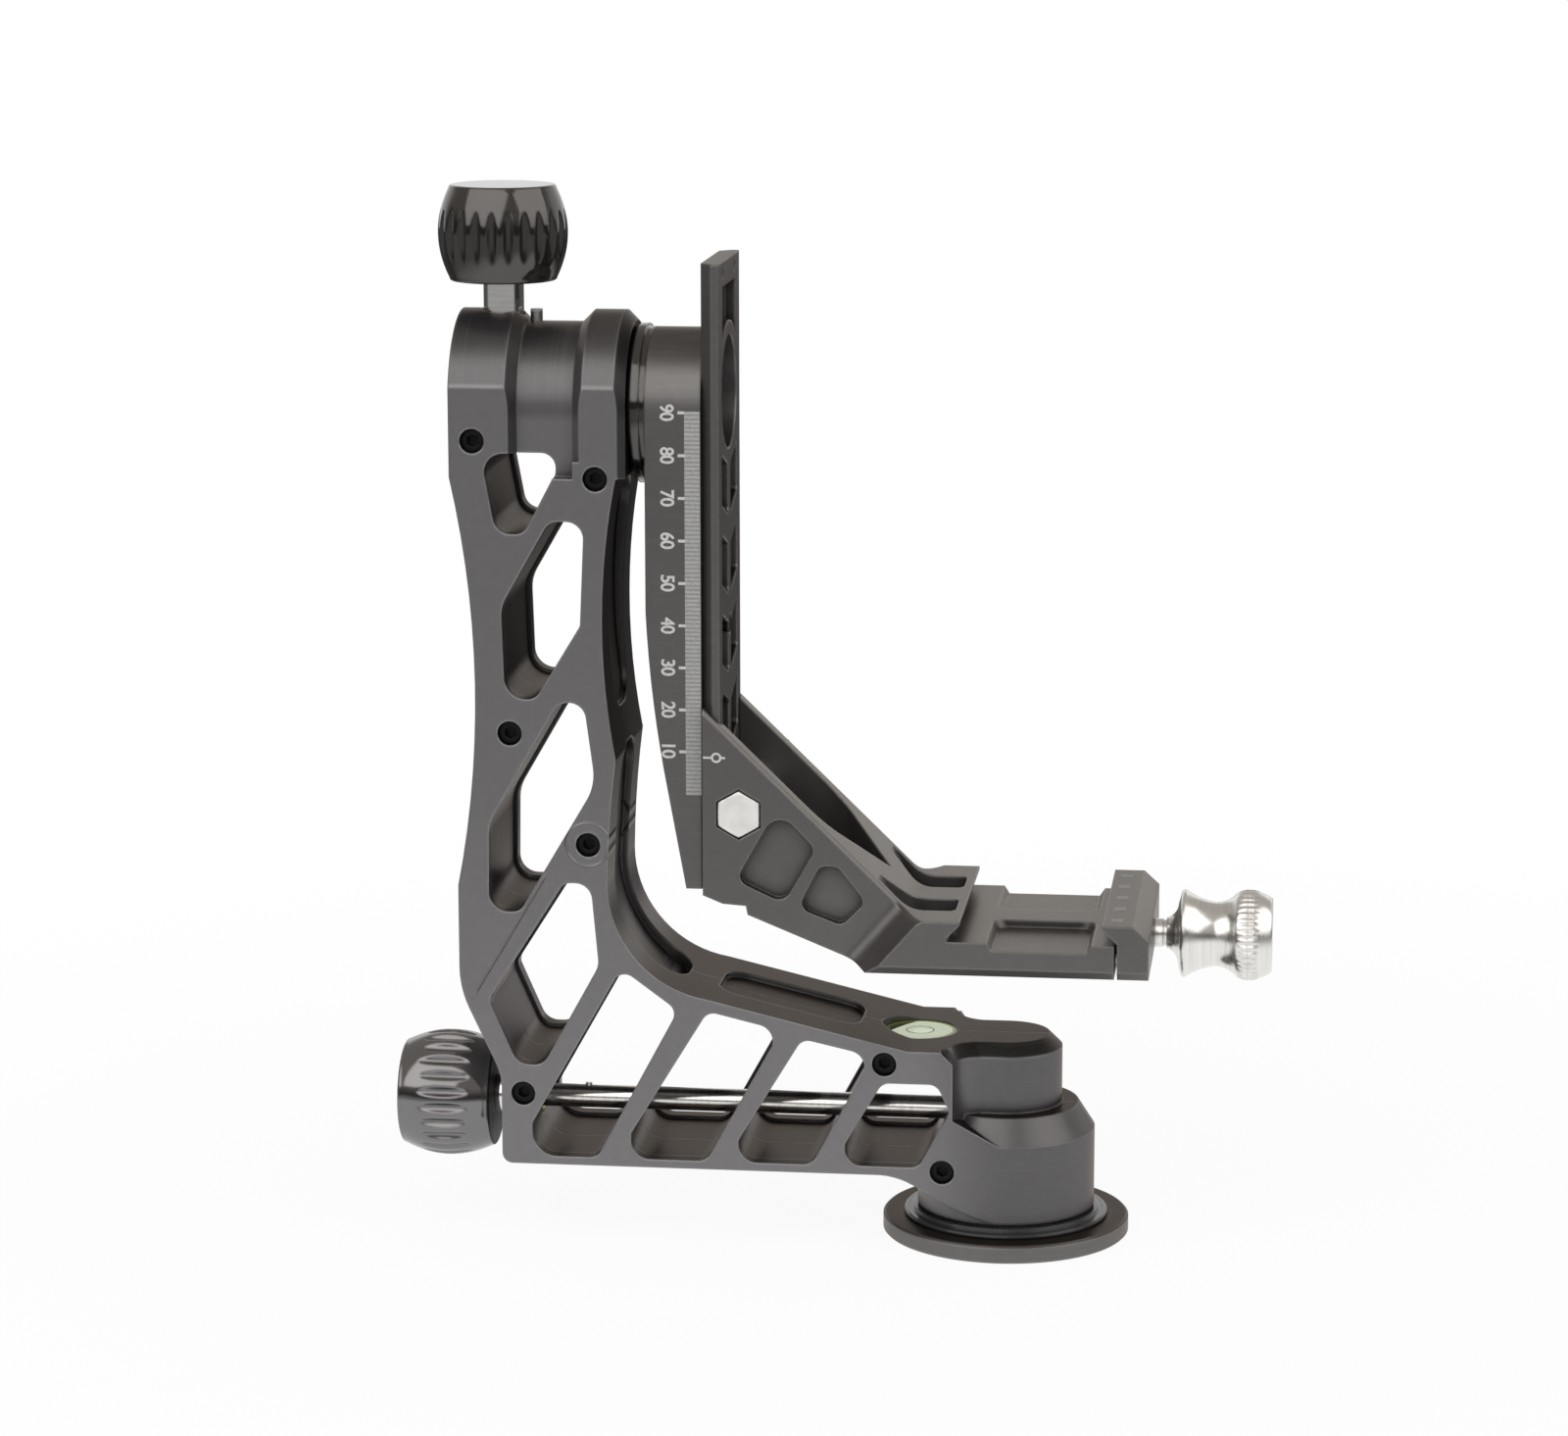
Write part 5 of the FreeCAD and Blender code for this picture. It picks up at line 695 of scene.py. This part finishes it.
def level_glass(name):
    """Clear lens: it mirrors more and hides more the flatter it is looked across, and has rubbing marks."""
    f = Finish(name)
    rub = f.noise(240.0, 4.0)
    facing = f.add("ShaderNodeLayerWeight", Blend=0.5).outputs["Facing"]
    mirror = f.ramp(facing, 0.35, 1.0, 0.06, 0.85)
    return f.shaded(Base_Color=f.mix(f.ramp(rub, 0.3, 0.8), (0.88, 0.97, 0.72), (0.84, 0.94, 0.62)),
                    Metallic=1.0, Roughness=f.ramp(rub, 0.4, 0.8, 0.02, 0.07), Alpha=mirror)


FINISH_OF = {}


def finish_for(slot):
    """The material of a record slot, made when it is first asked for."""
    if slot not in FINISH_OF:
        FINISH_OF[slot] = make_finish(slot)
    return FINISH_OF[slot]


def make_finish(slot):
    """The material of one slot of the record."""
    c, level = settings("finishes"), settings("level")
    plated, plastic, turned = gloss_plated, gloss_plastic, turned_steel
    # the turning-line masks also carry painted shade: the metal keeps 0.62 of its grey on the housing and
    # round tops, and 0.15 on the upright's faces towards the arm
    upright_lines = ((turned_about(2, (0.0, 0.0, 0.0), LINES_PER_METRE), on_housing, 0.62),
                     (turned_about(0, (0.0, 0.0, TILT_AXIS_Z), LINES_PER_METRE), on_round_tops, 0.62),
                     (drawn_along((1500.0, 1500.0, 60.0)), towards_arm, 0.15))
    upright_marks = (scribed_ring(*SCREW_RING, 5.2 * MM, 0.5 * MM),
                     scribed_line(*CREASE, 0.5 * MM, CREASE_SIDE))
    arm_lines = ((drawn_along((90.0, 90.0, 1500.0)), everywhere, 1.0),)
    disc_lines = ((turned_about(2, (0.0, 0.0, 0.0), 1400.0), everywhere, 1.0),)
    makers = {
        "frame_anodised": (anodised, "frame_satin", c.frame_grey, c.grazing_tint, upright_lines,
                           upright_marks, above_axis),
        "arm_anodised": (anodised, "arm_satin", c.arm_grey, c.grazing_tint, arm_lines, (), above_axis),
        "carriage_anodised": (anodised, "carriage_satin", c.carriage_grey, c.carriage_tint, (), (),
                              everywhere),
        "base_anodised": (anodised, "disc_satin", c.disc_grey, c.grazing_tint, disc_lines),
        "gloss_black": (plated, "knob_gloss", c.knob_black),
        "seal_black": (plastic, "ring_gloss", c.ring_black, lighter(c.ring_black, 1.5), 900.0, 0.08),
        "turned_steel": (turned, "steel_polished", c.steel, (2200.0, 30.0, 30.0), c.steel_roughness + 0.08),
        # black oxide with painted shade: near-black for screws sunk in deep holes
        "black_steel": (turned, "steel_blackened", c.black_oxide, (500.0, 500.0, 500.0), 0.5, 0.6),
        "bearing_steel": (turned, "steel_ground", c.ground_steel, (60.0, 60.0, 1800.0), 0.26),
        "bush_brass": (turned, "brass_turned", c.brass, (1500.0, 40.0, 1500.0), 0.28),
        "washer_plastic": (plastic, "washer_slide", c.slide_white, lighter(c.slide_white, 0.92), 500.0, 0.45),
        "level_green": (plastic, "level_cup_green", level.cup, level.liquid_rim, 400.0, 0.2),
        "level_liquid": (level_liquid, "level_liquid_green"),
        "level_glass": (level_glass, "level_lens_clear"),
    }
    if slot not in makers:
        raise ValueError("no finish is known for slot " + slot)
    maker, *wanted = makers[slot]
    return maker(*wanted)


# ---------------------------------------------------------------- knobs

def lock_knob_rings():
    """Rings of a lock knob standing on height 0 about the height axis.

    From the bottom of its bore the profile goes down the bore, out over the inner face, round the edge,
    up the side, round the other edge and in to the pole. The side's radius is the greatest radius less
    the rise times the square of the height's share of half the knob, less the depth of the flutes,
    which depends on the distance round the knob from the nearest flute and on the height.
    """
    k = settings("knobs")
    height = KNOB_TOP - KNOB_BOTTOM
    radius = (KNOB_HIGH_X - KNOB_LOW_X) / 2
    a, off = round_angles(k.flutes, 24)
    half = height / 2 - k.edge
    flutes_from, flutes_to = (k.flute_middle + part * k.flute_length for part in (-0.55, 0.55))
    h = np.concatenate([np.linspace(k.edge, flutes_from, 8, endpoint=False),
                        np.linspace(flutes_from, flutes_to, 52),
                        np.linspace(flutes_to, height - k.edge, 10)[1:]])[:, None]
    side = radius - (radius - k.end_radius) * ((h - height / 2) / half) ** 2
    side = side - groove_depth(side * off, h - k.flute_middle, k.flute_depth, k.flute_width, k.flute_length)
    turn = np.linspace(0, np.pi / 2, 7)[:-1]
    edge_r = k.end_radius - k.edge + k.edge * np.sin(turn)
    edge_h = k.edge * (1 - np.cos(turn))
    face = np.linspace(k.bore_radius + BORE_BREAK, k.end_radius - k.edge, 9)[:-1]
    top = np.linspace(k.end_radius - k.edge, 1.0 * MM, 14)[1:]
    low_r = np.concatenate([[k.bore_radius] * 2, face, edge_r])
    low_h = np.concatenate([[height * BORE_SHARE, BORE_BREAK], 0 * face, edge_h])
    high_r = np.concatenate([edge_r[::-1], top])
    high_h = np.concatenate([height - edge_h[::-1], height + 0 * top])
    r = np.concatenate([low_r[:, None] + 0 * a, side, high_r[:, None] + 0 * a])
    h = np.concatenate([low_h[:, None], h, high_h[:, None]]) + 0 * a
    return r, h, a + 0 * r, height


def lock_knob(name, node, body, upright):
    """A fluted lock knob in the place of its CAD node: upright about Z, otherwise about -X."""
    r, h, a, height = lock_knob_rings()
    colours = settings("finishes")
    if upright:
        x, z = (KNOB_LOW_X + KNOB_HIGH_X) / 2, KNOB_BOTTOM
        rings = np.stack([x + r * np.cos(a), r * np.sin(a), z + h], -1)
        poles = (x, 0, z + BORE_SHARE * height), (x, 0, z + height)
        inner, black = (2, z + 0.15 * MM, z + 0.3 * MM), colours.knob_black
    else:
        x, z = PAN_KNOB_INNER, (PAN_KNOB_LOW + PAN_KNOB_HIGH) / 2
        rings = np.stack([x - h, r * np.sin(a), z + r * np.cos(a)], -1)
        poles = (x - BORE_SHARE * height, 0, z), (x - height, 0, z)
        inner, black = (0, x - 0.15 * MM, x - 0.3 * MM), colours.pan_knob_black
    finish = gloss_plated(name + "_gloss", black, inner)
    made = piece(name, *closed_rings(rings, *poles), finish, body, "gloss_black", 50.0)
    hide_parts(node)


def clamp_knob_rings():
    """Rings of the waisted clamp knob about the X axis.

    Its profile is a chain of circular arcs and straight lines from the bore over the bell-shaped inner
    face, the flange's lip, the hollow waist, the rim and the crown to the outer face. The knurled band's
    grooves are taken off the radius of the rim.
    """
    k = settings("knobs")
    x0, x1 = CLAMP_INNER, CLAMP_OUTER
    rim_r = (CLAMP_HIGH - CLAMP_LOW) / 2
    cone_x, flange_x, waist_x, shoulder_x, rim_x, rim_end = (x0 + place for place in (
        CONE_AT, FLANGE_AT, WAIST_AT, SHOULDER_AT, RIM_AT, RIM_END_AT))
    bell = along_arc((x0, FACE_R), (x0 + 1.7 * MM, FACE_R + 1.1 * MM), (cone_x, CONE_R), 14)
    lip = along_arc((flange_x - 0.9 * MM, FLANGE_R - 0.8 * MM), (flange_x - 0.55 * MM, FLANGE_R - 0.25 * MM),
                    (flange_x, FLANGE_R), 9)
    fall = along_arc(lip[-1], (waist_x - 3.9 * MM, WAIST_R + 1.0 * MM), (waist_x, WAIST_R), 22)[1:]
    rise = along_arc(fall[-1], (waist_x + 2.7 * MM, WAIST_R + 0.65 * MM),
                     (shoulder_x, rim_r - 0.9 * MM), 14)[1:]
    shoulder = along_arc(rise[-1], (rim_x - 1.1 * MM, rim_r - 0.3 * MM), (rim_x, rim_r), 14)[1:]
    flat_x = np.linspace(rim_x, rim_end, 10)[1:]
    flat = np.stack([flat_x, 0 * flat_x + rim_r], -1)
    crown = along_arc(flat[-1], ((rim_end + x1) / 2, (rim_r + END_R) / 2 + 0.2 * MM),
                      (x1 - 0.2 * MM, END_R + 0.12 * MM), 16)[1:]
    face_r = np.linspace(END_R - 0.1 * MM, 0.6 * MM, 9)
    face = np.stack([0 * face_r + x1, face_r], -1)
    bore = np.array([[x0 + CLAMP_BORE_DEEP, CLAMP_BORE_R], [x0, CLAMP_BORE_R]])
    line = np.concatenate([bore, bell, lip, fall, rise, shoulder, flat, crown, face])
    a, off = round_angles(k.knurls, 16)
    x, r = line[:, :1], line[:, 1:]
    along = x - (x0 + k.knurl_start) - k.knurl_length / 2
    grooves = groove_depth(r * off, along, k.knurl_depth, k.knurl_width, k.knurl_length)
    outer = (np.arange(len(line)) > len(bore) + len(bell))[:, None]
    r = r - grooves * outer
    return x + 0 * a, r, a + 0 * r


def clamp_knob():
    """The bright knob of the quick-release clamp, in the place of its CAD node."""
    x, r, a = clamp_knob_rings()
    z = (CLAMP_HIGH + CLAMP_LOW) / 2
    rings = np.stack([x, r * np.cos(a), z + r * np.sin(a)], -1)
    made = piece("clamp_knob_knurled",
                 *closed_rings(rings, (CLAMP_INNER + CLAMP_BORE_DEEP, 0, z), (CLAMP_OUTER, 0, z)),
                 finish_for("turned_steel"), "clamp", "turned_steel", 45.0)
    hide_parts("clamp_knob")


# ---------------------------------------------------------------- scale and marks

def numeral_mesh(text, digit_height, number_length):
    """Flat mesh of a number: x along the line of reading, y up the digits, centred on both.

    The built-in font's outline is filled and given a hair of thickness, and the whole is scaled to the
    stated length and height.
    """
    curve = bpy.data.curves.new("numeral", "FONT")
    curve.body = text
    curve.size = 1.0
    curve.offset = 0.022  # thicker strokes
    curve.space_character = 0.92
    curve.extrude = 0.01
    holder = bpy.data.objects.new("numeral", curve)
    bpy.context.scene.collection.objects.link(holder)
    bpy.context.view_layer.update()
    mesh = bpy.data.meshes.new_from_object(holder.evaluated_get(bpy.context.evaluated_depsgraph_get()))
    bpy.data.objects.remove(holder)
    bpy.data.curves.remove(curve)
    points = np.zeros(len(mesh.vertices) * 3, np.float32)
    mesh.vertices.foreach_get("co", points)
    points = points.reshape(-1, 3).astype(float)
    low, high = points.min(0), points.max(0)
    points -= (low + high) / 2
    tall = digit_height / (high[1] - low[1])
    points *= np.array([number_length / (high[0] - low[0]), tall, tall])
    return mesh, points


def numeral(value, x, y, z, thickness, material):
    """A number on the arm: it reads downwards, along -Z, and its digits' tops point to +X."""
    marks = settings("marks")
    narrow = 0.85 if value < 20 else 1.0
    mesh, p = numeral_mesh(str(value), marks.digit_height, narrow * marks.number_length)
    depth = np.sign(p[:, 2]) * thickness / 2
    mesh.vertices.foreach_set("co", spread(x + p[:, 1], y - depth, z - p[:, 0]).astype(np.float32).ravel())
    mesh.update()
    mesh.name = "scale_numeral_%d" % value
    dress(bpy.data.objects.new(mesh.name, mesh), material, "swing")


def scale_on_arm():
    """The millimetre scale: a ground band, a line for each millimetre, long lines and numbers each ten.

    It gives back the white paint, for the index.
    """
    marks = settings("marks")
    edge = cad_span("dovetail_rail", 0)[0]
    left, right = edge - marks.band_left, edge - marks.band_right
    zero, thin = marks.zero_height, marks.proud
    y, sunk = ARM_FRONT, ARM_FRONT + SINK
    band = bars([left, y - 0.4 * thin, zero - 0.3 * MM], [right, sunk, zero + SCALE_LENGTH + 0.3 * MM])
    piece("scale_band", *band, filled_paint("scale_ground", marks.scale_grey), "swing", "arm_anodised")
    count = np.arange(91)
    z = zero + count * MM
    half = np.where(count % 5 == 0, 0.31, 0.26) * MM
    lines = bars(spread(left, y - 0.8 * thin, z - half), spread(right, sunk, z + half))
    piece("scale_lines", *lines, filled_paint("scale_paint", marks.tick_grey), "swing", "arm_anodised")
    white = filled_paint("mark_paint", marks.mark_white)
    z, half = z[10::10], 0.34 * MM
    lines = bars(spread(edge - marks.long_tick, y - thin, z - half), spread(left + 0.1 * MM, sunk, z + half))
    piece("scale_long_lines", *lines, white, "swing", "arm_anodised")
    for value in range(10, 91, 10):
        numeral(value, edge - NUMBER_OFFSET, y, zero + value * MM, 2 * thin, white)
    return white


def index_on_carriage(white):
    """The carriage's index: a line with a small circle on it, beside the scale, and bars on the jaw."""
    marks = settings("marks")
    thin, y, x, z = marks.proud, CARRIAGE_SIDE, INDEX_X, INDEX_Z
    half, ring_r = 0.26 * MM, 1.05 * MM
    lines = bars(spread(np.array([INDEX_START_X, x + ring_r]), y - thin, z - half),
                 spread(np.array([x - ring_r, x + 2 * ring_r]), y + SINK, z + half))
    piece("index_line", *lines, white, "carriage", "carriage_anodised")
    points, quads, triangles = tube_ring(0.98 * MM, 0.27 * MM, thin, 64)
    placed = spread(x + points[:, 0], y - points[:, 2], z + points[:, 1])
    piece("index_circle", placed, quads, triangles, white, "carriage", "carriage_anodised")
    rows = np.linspace(JAW_FRONT + 6.5 * MM, JAW_BACK - 6.5 * MM, 5)
    lines = bars(spread(JAW_MARK_FROM, rows - 1.8 * MM, JAW_TOP - SINK),
                 spread(JAW_MARK_TO, rows + 1.8 * MM, JAW_TOP + thin))
    grey = filled_paint("jaw_mark_paint", lighter(marks.mark_white, 0.42))
    piece("jaw_marks", *lines, grey, "jaw", "carriage_anodised")


# ---------------------------------------------------------------- bubble level

def bubble_level():
    """Air bubble and printed ring of the level, just under and on its lens.

    The bubble is a flattened dome: its height falls with the square root of 1 less the squared share of
    its radius.
    """
    level = settings("level")
    x, y = LENS_X + 0.7 * MM, 0.4 * MM
    middle, rise = LENS_TOP - 0.32 * MM, 0.12 * MM
    a = np.linspace(0, 2 * np.pi, 64, endpoint=False)[None, :]
    t = np.linspace(0, np.pi, 26)[1:-1, None]
    r = level.bubble_radius * np.sin(t)
    rings = spread(x + r * np.cos(a), y + r * np.sin(a), middle + rise * np.cos(t))
    poles = (x, y, middle + rise), (x, y, middle - rise)
    f = Finish("level_bubble_air")
    swirl = f.noise(900.0, 2.0)
    air = f.shaded(Base_Color=f.mix(f.ramp(swirl, 0.3, 0.7), (0.88, 0.92, 0.80), (0.80, 0.86, 0.66)),
                   Roughness=f.ramp(swirl, 0.3, 0.7, 0.08, 0.16), Normal=f.bump(swirl, 0.05, 0.03 * MM))
    piece("level_bubble", *closed_rings(rings, *poles), air, "frame", "level_liquid")
    points, quads, triangles = tube_ring(level.ring_radius, level.ring_width / 2, 0.02 * MM, 96)
    points = points + np.array([LENS_X, 0.0, LENS_TOP + 0.005 * MM])
    piece("level_ring", points, quads, triangles, filled_paint("level_ring_paint", (0.16, 0.20, 0.10)),
          "frame", "level_green")


# ---------------------------------------------------------------- studio

def studio_camera():
    """Camera of the set: it stands in front, a little above and to the right, and looks slightly down.

    Its view direction comes from the turn about Z and the pitch, its right-hand side is level, and the
    small roll turns both about the view direction.
    """
    turn, pitch, roll = (math.radians(angle) for angle in CAMERA_ANGLES)
    ahead = Vector((-math.sin(turn) * math.cos(pitch), math.cos(turn) * math.cos(pitch), -math.sin(pitch)))
    level = Vector((math.cos(turn), math.sin(turn), 0.0))
    upright = level.cross(ahead)
    right = math.cos(roll) * level + math.sin(roll) * upright
    up = math.cos(roll) * upright - math.sin(roll) * level
    data = bpy.data.cameras.new("set_camera")
    data.lens, data.sensor_width, data.sensor_fit = CAMERA_LENS, CAMERA_SENSOR, "AUTO"
    data.clip_start, data.clip_end = 0.02, 20.0
    camera = bpy.data.objects.new("set_camera", data)
    camera.matrix_world = Matrix((*zip(right, up, -ahead, CAMERA_PLACE), (0, 0, 0, 1)))
    bpy.context.scene.collection.objects.link(camera)
    bpy.context.scene.camera = camera


def soft_box(name, turn, height, distance, width, tall, brightness, tint):
    """A large soft box that looks at the middle of the head; its power is brightness times pi times area."""
    turn = math.radians(turn)
    place = MIDDLE_OF_HEAD + Vector((distance * math.sin(turn), -distance * math.cos(turn), height))
    data = bpy.data.lights.new(name, "AREA")
    data.shape, data.size, data.size_y = "RECTANGLE", width, tall
    data.energy = brightness * math.pi * width * tall
    data.color = tint
    lamp = bpy.data.objects.new(name, data)
    turned = (MIDDLE_OF_HEAD - place).to_track_quat("-Z", "Y").to_matrix().to_4x4()
    lamp.matrix_world = Matrix.Translation(place) @ turned
    bpy.context.scene.collection.objects.link(lamp)


def studio_world():
    """Backdrop: white to the camera; to shine, a white sweep behind, a dark room and a warm ceiling."""
    studio = settings("studio")
    world = bpy.data.worlds.new("studio")
    bpy.context.scene.world = world
    world.use_nodes = True
    world.node_tree.nodes.clear()
    n = Nodes(world.node_tree)
    direction = n.split(n.add("ShaderNodeTexCoord").outputs["Generated"])
    low = n.ramp(direction[2], 0.5, 0.3)
    behind = n.ramp(direction[1], 0.25, 0.6)
    above = n.mix(n.ramp(direction[2], 0.06, 0.34), studio.room, studio.ceiling)
    tone = n.mix(n.times(low, behind), above, (1.0, 1.0, 1.0))
    ray = n.add("ShaderNodeLightPath").outputs
    sweep, even, white = (n.add("ShaderNodeBackground", Color=light, Strength=strength).outputs[0]
                          for light, strength in ((tone, 1.0), ((1.0, 0.995, 0.99), studio.ambient),
                                                  ((1.0, 1.0, 1.0), 1.0)))
    shine = n.larger(ray["Is Glossy Ray"], ray["Is Transmission Ray"])
    n.add("ShaderNodeOutputWorld", Surface=n.blend(ray["Is Camera Ray"], n.blend(shine, even, sweep), white))


def studio_floor():
    """Round pale floor. Its ring radii grow towards the rim, and its white fades into the backdrop's.

    To shine, it is white round the set, dimmer far in front and darker far behind.
    """
    studio = settings("studio")
    drop, thick = -0.2 * MM, 4.0 * MM
    a = np.linspace(0, 2 * np.pi, 96, endpoint=False)[None, :]
    r = 0.03 + 4.0 * np.linspace(0, 1, 24)[:, None] ** 2
    rings = np.concatenate([spread(r * np.cos(a), r * np.sin(a), drop),
                            spread(r[::-1] * np.cos(a), r[::-1] * np.sin(a), drop - thick)])
    points, quads, triangles = closed_rings(rings, (0, 0, drop), (0, 0, drop - thick))
    mesh = bpy.data.meshes.new("studio_floor")
    mesh.from_pydata(points.tolist(), [], quads.tolist() + triangles.tolist())
    mesh.update()
    floor = bpy.data.objects.new("studio_floor", mesh)
    bpy.context.scene.collection.objects.link(floor)
    f = Finish("floor_pale")
    off = f.split(f.place)
    reach = f.reach(off[0], off[1])
    tone = f.mix(f.ramp(f.noise(9.0, 3.0), 0.3, 0.7), studio.floor, lighter(studio.floor, 0.985))
    f.shaded(Base_Color=tone, Roughness=0.85, Specular_IOR_Level=0.1)
    rays = f.add("ShaderNodeLightPath").outputs
    shine = f.larger(rays["Is Glossy Ray"], rays["Is Transmission Ray"])
    seen = f.larger(rays["Is Camera Ray"], shine)
    far = f.ramp(reach, 0.10, 0.5, 0.93, 1.0)
    dark = f.ramp(off[1], 0.0, 0.3, 0.62, 0.92)
    dimmer = f.times(shine, f.times(f.ramp(reach, 0.28, 0.6), dark))
    glow = f.add("ShaderNodeEmission", Color=(1.0, 1.0, 1.0), Strength=f.minus(1.0, dimmer)).outputs[0]
    f.set(f.tree.nodes["Material Output"].inputs[0], f.blend(f.times(seen, far), f.shader.outputs[0], glow))
    mesh.materials.append(f.material)


# ---------------------------------------------------------------- operators

class GIMBAL_OT_studio(bpy.types.Operator):
    """Make the floor, the backdrop, the soft boxes and the camera"""

    bl_idname = "gimbal.studio"
    bl_label = "Studio"

    def execute(self, context):
        studio = context.scene.gimbal_studio
        context.scene.view_settings.view_transform = "Standard"
        studio_floor()
        studio_world()
        soft_box("soft_box_left", turn=-31.0, height=0.75, distance=0.98, width=1.65, tall=1.17,
                 brightness=studio.left_box, tint=(1.0, 0.99, 0.98))
        soft_box("soft_box_right", turn=73.0, height=0.66, distance=1.02, width=1.3, tall=1.0,
                 brightness=studio.right_box, tint=(1.0, 0.985, 0.965))
        studio_camera()
        return {"FINISHED"}


class GIMBAL_OT_machined_finishes(bpy.types.Operator):
    """Give every machined CAD piece its finish by its material slot"""

    bl_idname = "gimbal.machined_finishes"
    bl_label = "Machined finishes"

    def execute(self, context):
        finishes = context.scene.gimbal_finishes
        own = {"height_bolt": turned_steel("bolt_zinc", finishes.zinc, (300.0, 300.0, 300.0), 0.34, 0.45),
               "pan_lock_rod": turned_steel("rod_polished", finishes.steel, (900.0, 25.0, 25.0), 0.08),
               "tilt_lock_stud": turned_steel("stud_polished", finishes.steel, (25.0, 25.0, 900.0), 0.08)}
        for row in frame["record"]["subparts"]:
            node = frame["nodes"][row["node"]]
            material = own.get(row["node"]) or finish_for(row["material_slot"])
            node.data.materials.clear()
            node.data.materials.append(material)
        return {"FINISHED"}


class GIMBAL_OT_lock_knobs(bpy.types.Operator):
    """Make the fluted knobs of the tilt lock and the pan lock"""

    bl_idname = "gimbal.lock_knobs"
    bl_label = "Lock knobs"

    def execute(self, context):
        lock_knob("tilt_knob_fluted", "tilt_knob", "tilt_lock", True)
        lock_knob("pan_knob_fluted", "pan_knob", "pan_lock", False)
        return {"FINISHED"}


class GIMBAL_OT_clamp_knob(bpy.types.Operator):
    """Make the waisted, knurled knob of the quick-release clamp"""

    bl_idname = "gimbal.clamp_knob"
    bl_label = "Clamp knob"

    def execute(self, context):
        clamp_knob()
        return {"FINISHED"}


class GIMBAL_OT_scale_marks(bpy.types.Operator):
    """Make the millimetre scale, its numbers, the index and the jaw's marks"""

    bl_idname = "gimbal.scale_marks"
    bl_label = "Scale and marks"

    def execute(self, context):
        index_on_carriage(scale_on_arm())
        return {"FINISHED"}


class GIMBAL_OT_bubble_level(bpy.types.Operator):
    """Make the level's air bubble and printed ring"""

    bl_idname = "gimbal.bubble_level"
    bl_label = "Bubble level"

    def execute(self, context):
        bubble_level()
        return {"FINISHED"}


STEPS = (GIMBAL_OT_studio, GIMBAL_OT_machined_finishes, GIMBAL_OT_lock_knobs, GIMBAL_OT_clamp_knob,
         GIMBAL_OT_scale_marks, GIMBAL_OT_bubble_level)
GROUPS = {"gimbal_finishes": GIMBAL_PG_finishes, "gimbal_knobs": GIMBAL_PG_knobs,
          "gimbal_marks": GIMBAL_PG_marks, "gimbal_level": GIMBAL_PG_level, "gimbal_studio": GIMBAL_PG_studio}


class GIMBAL_PT_panel(bpy.types.Panel):
    """Lists the steps that dress the gimbal head, and their sizes and colours"""

    bl_idname = "GIMBAL_PT_panel"
    bl_label = "Gimbal Head"
    bl_space_type = "VIEW_3D"
    bl_region_type = "UI"
    bl_category = "Gimbal Head"

    def draw(self, context):
        for step in STEPS:
            self.layout.operator(step.bl_idname)
        for name, group in GROUPS.items():
            box = self.layout.box()
            box.label(text=group.__doc__)
            for key in group.__annotations__:
                box.prop(getattr(context.scene, name), key)


def register():
    for cls in (*GROUPS.values(), *STEPS, GIMBAL_PT_panel):
        bpy.utils.register_class(cls)
    for name, group in GROUPS.items():
        setattr(bpy.types.Scene, name, bpy.props.PointerProperty(type=group))


def unregister():
    for name in GROUPS:
        delattr(bpy.types.Scene, name)
    for cls in (GIMBAL_PT_panel, *reversed(STEPS), *reversed(list(GROUPS.values()))):
        bpy.utils.unregister_class(cls)


def main():
    """Registers the classes and runs each step in order."""
    register()
    for step in STEPS:
        group, name = step.bl_idname.split(".")
        getattr(getattr(bpy.ops, group), name)()


if __name__ == "__main__":
    main()
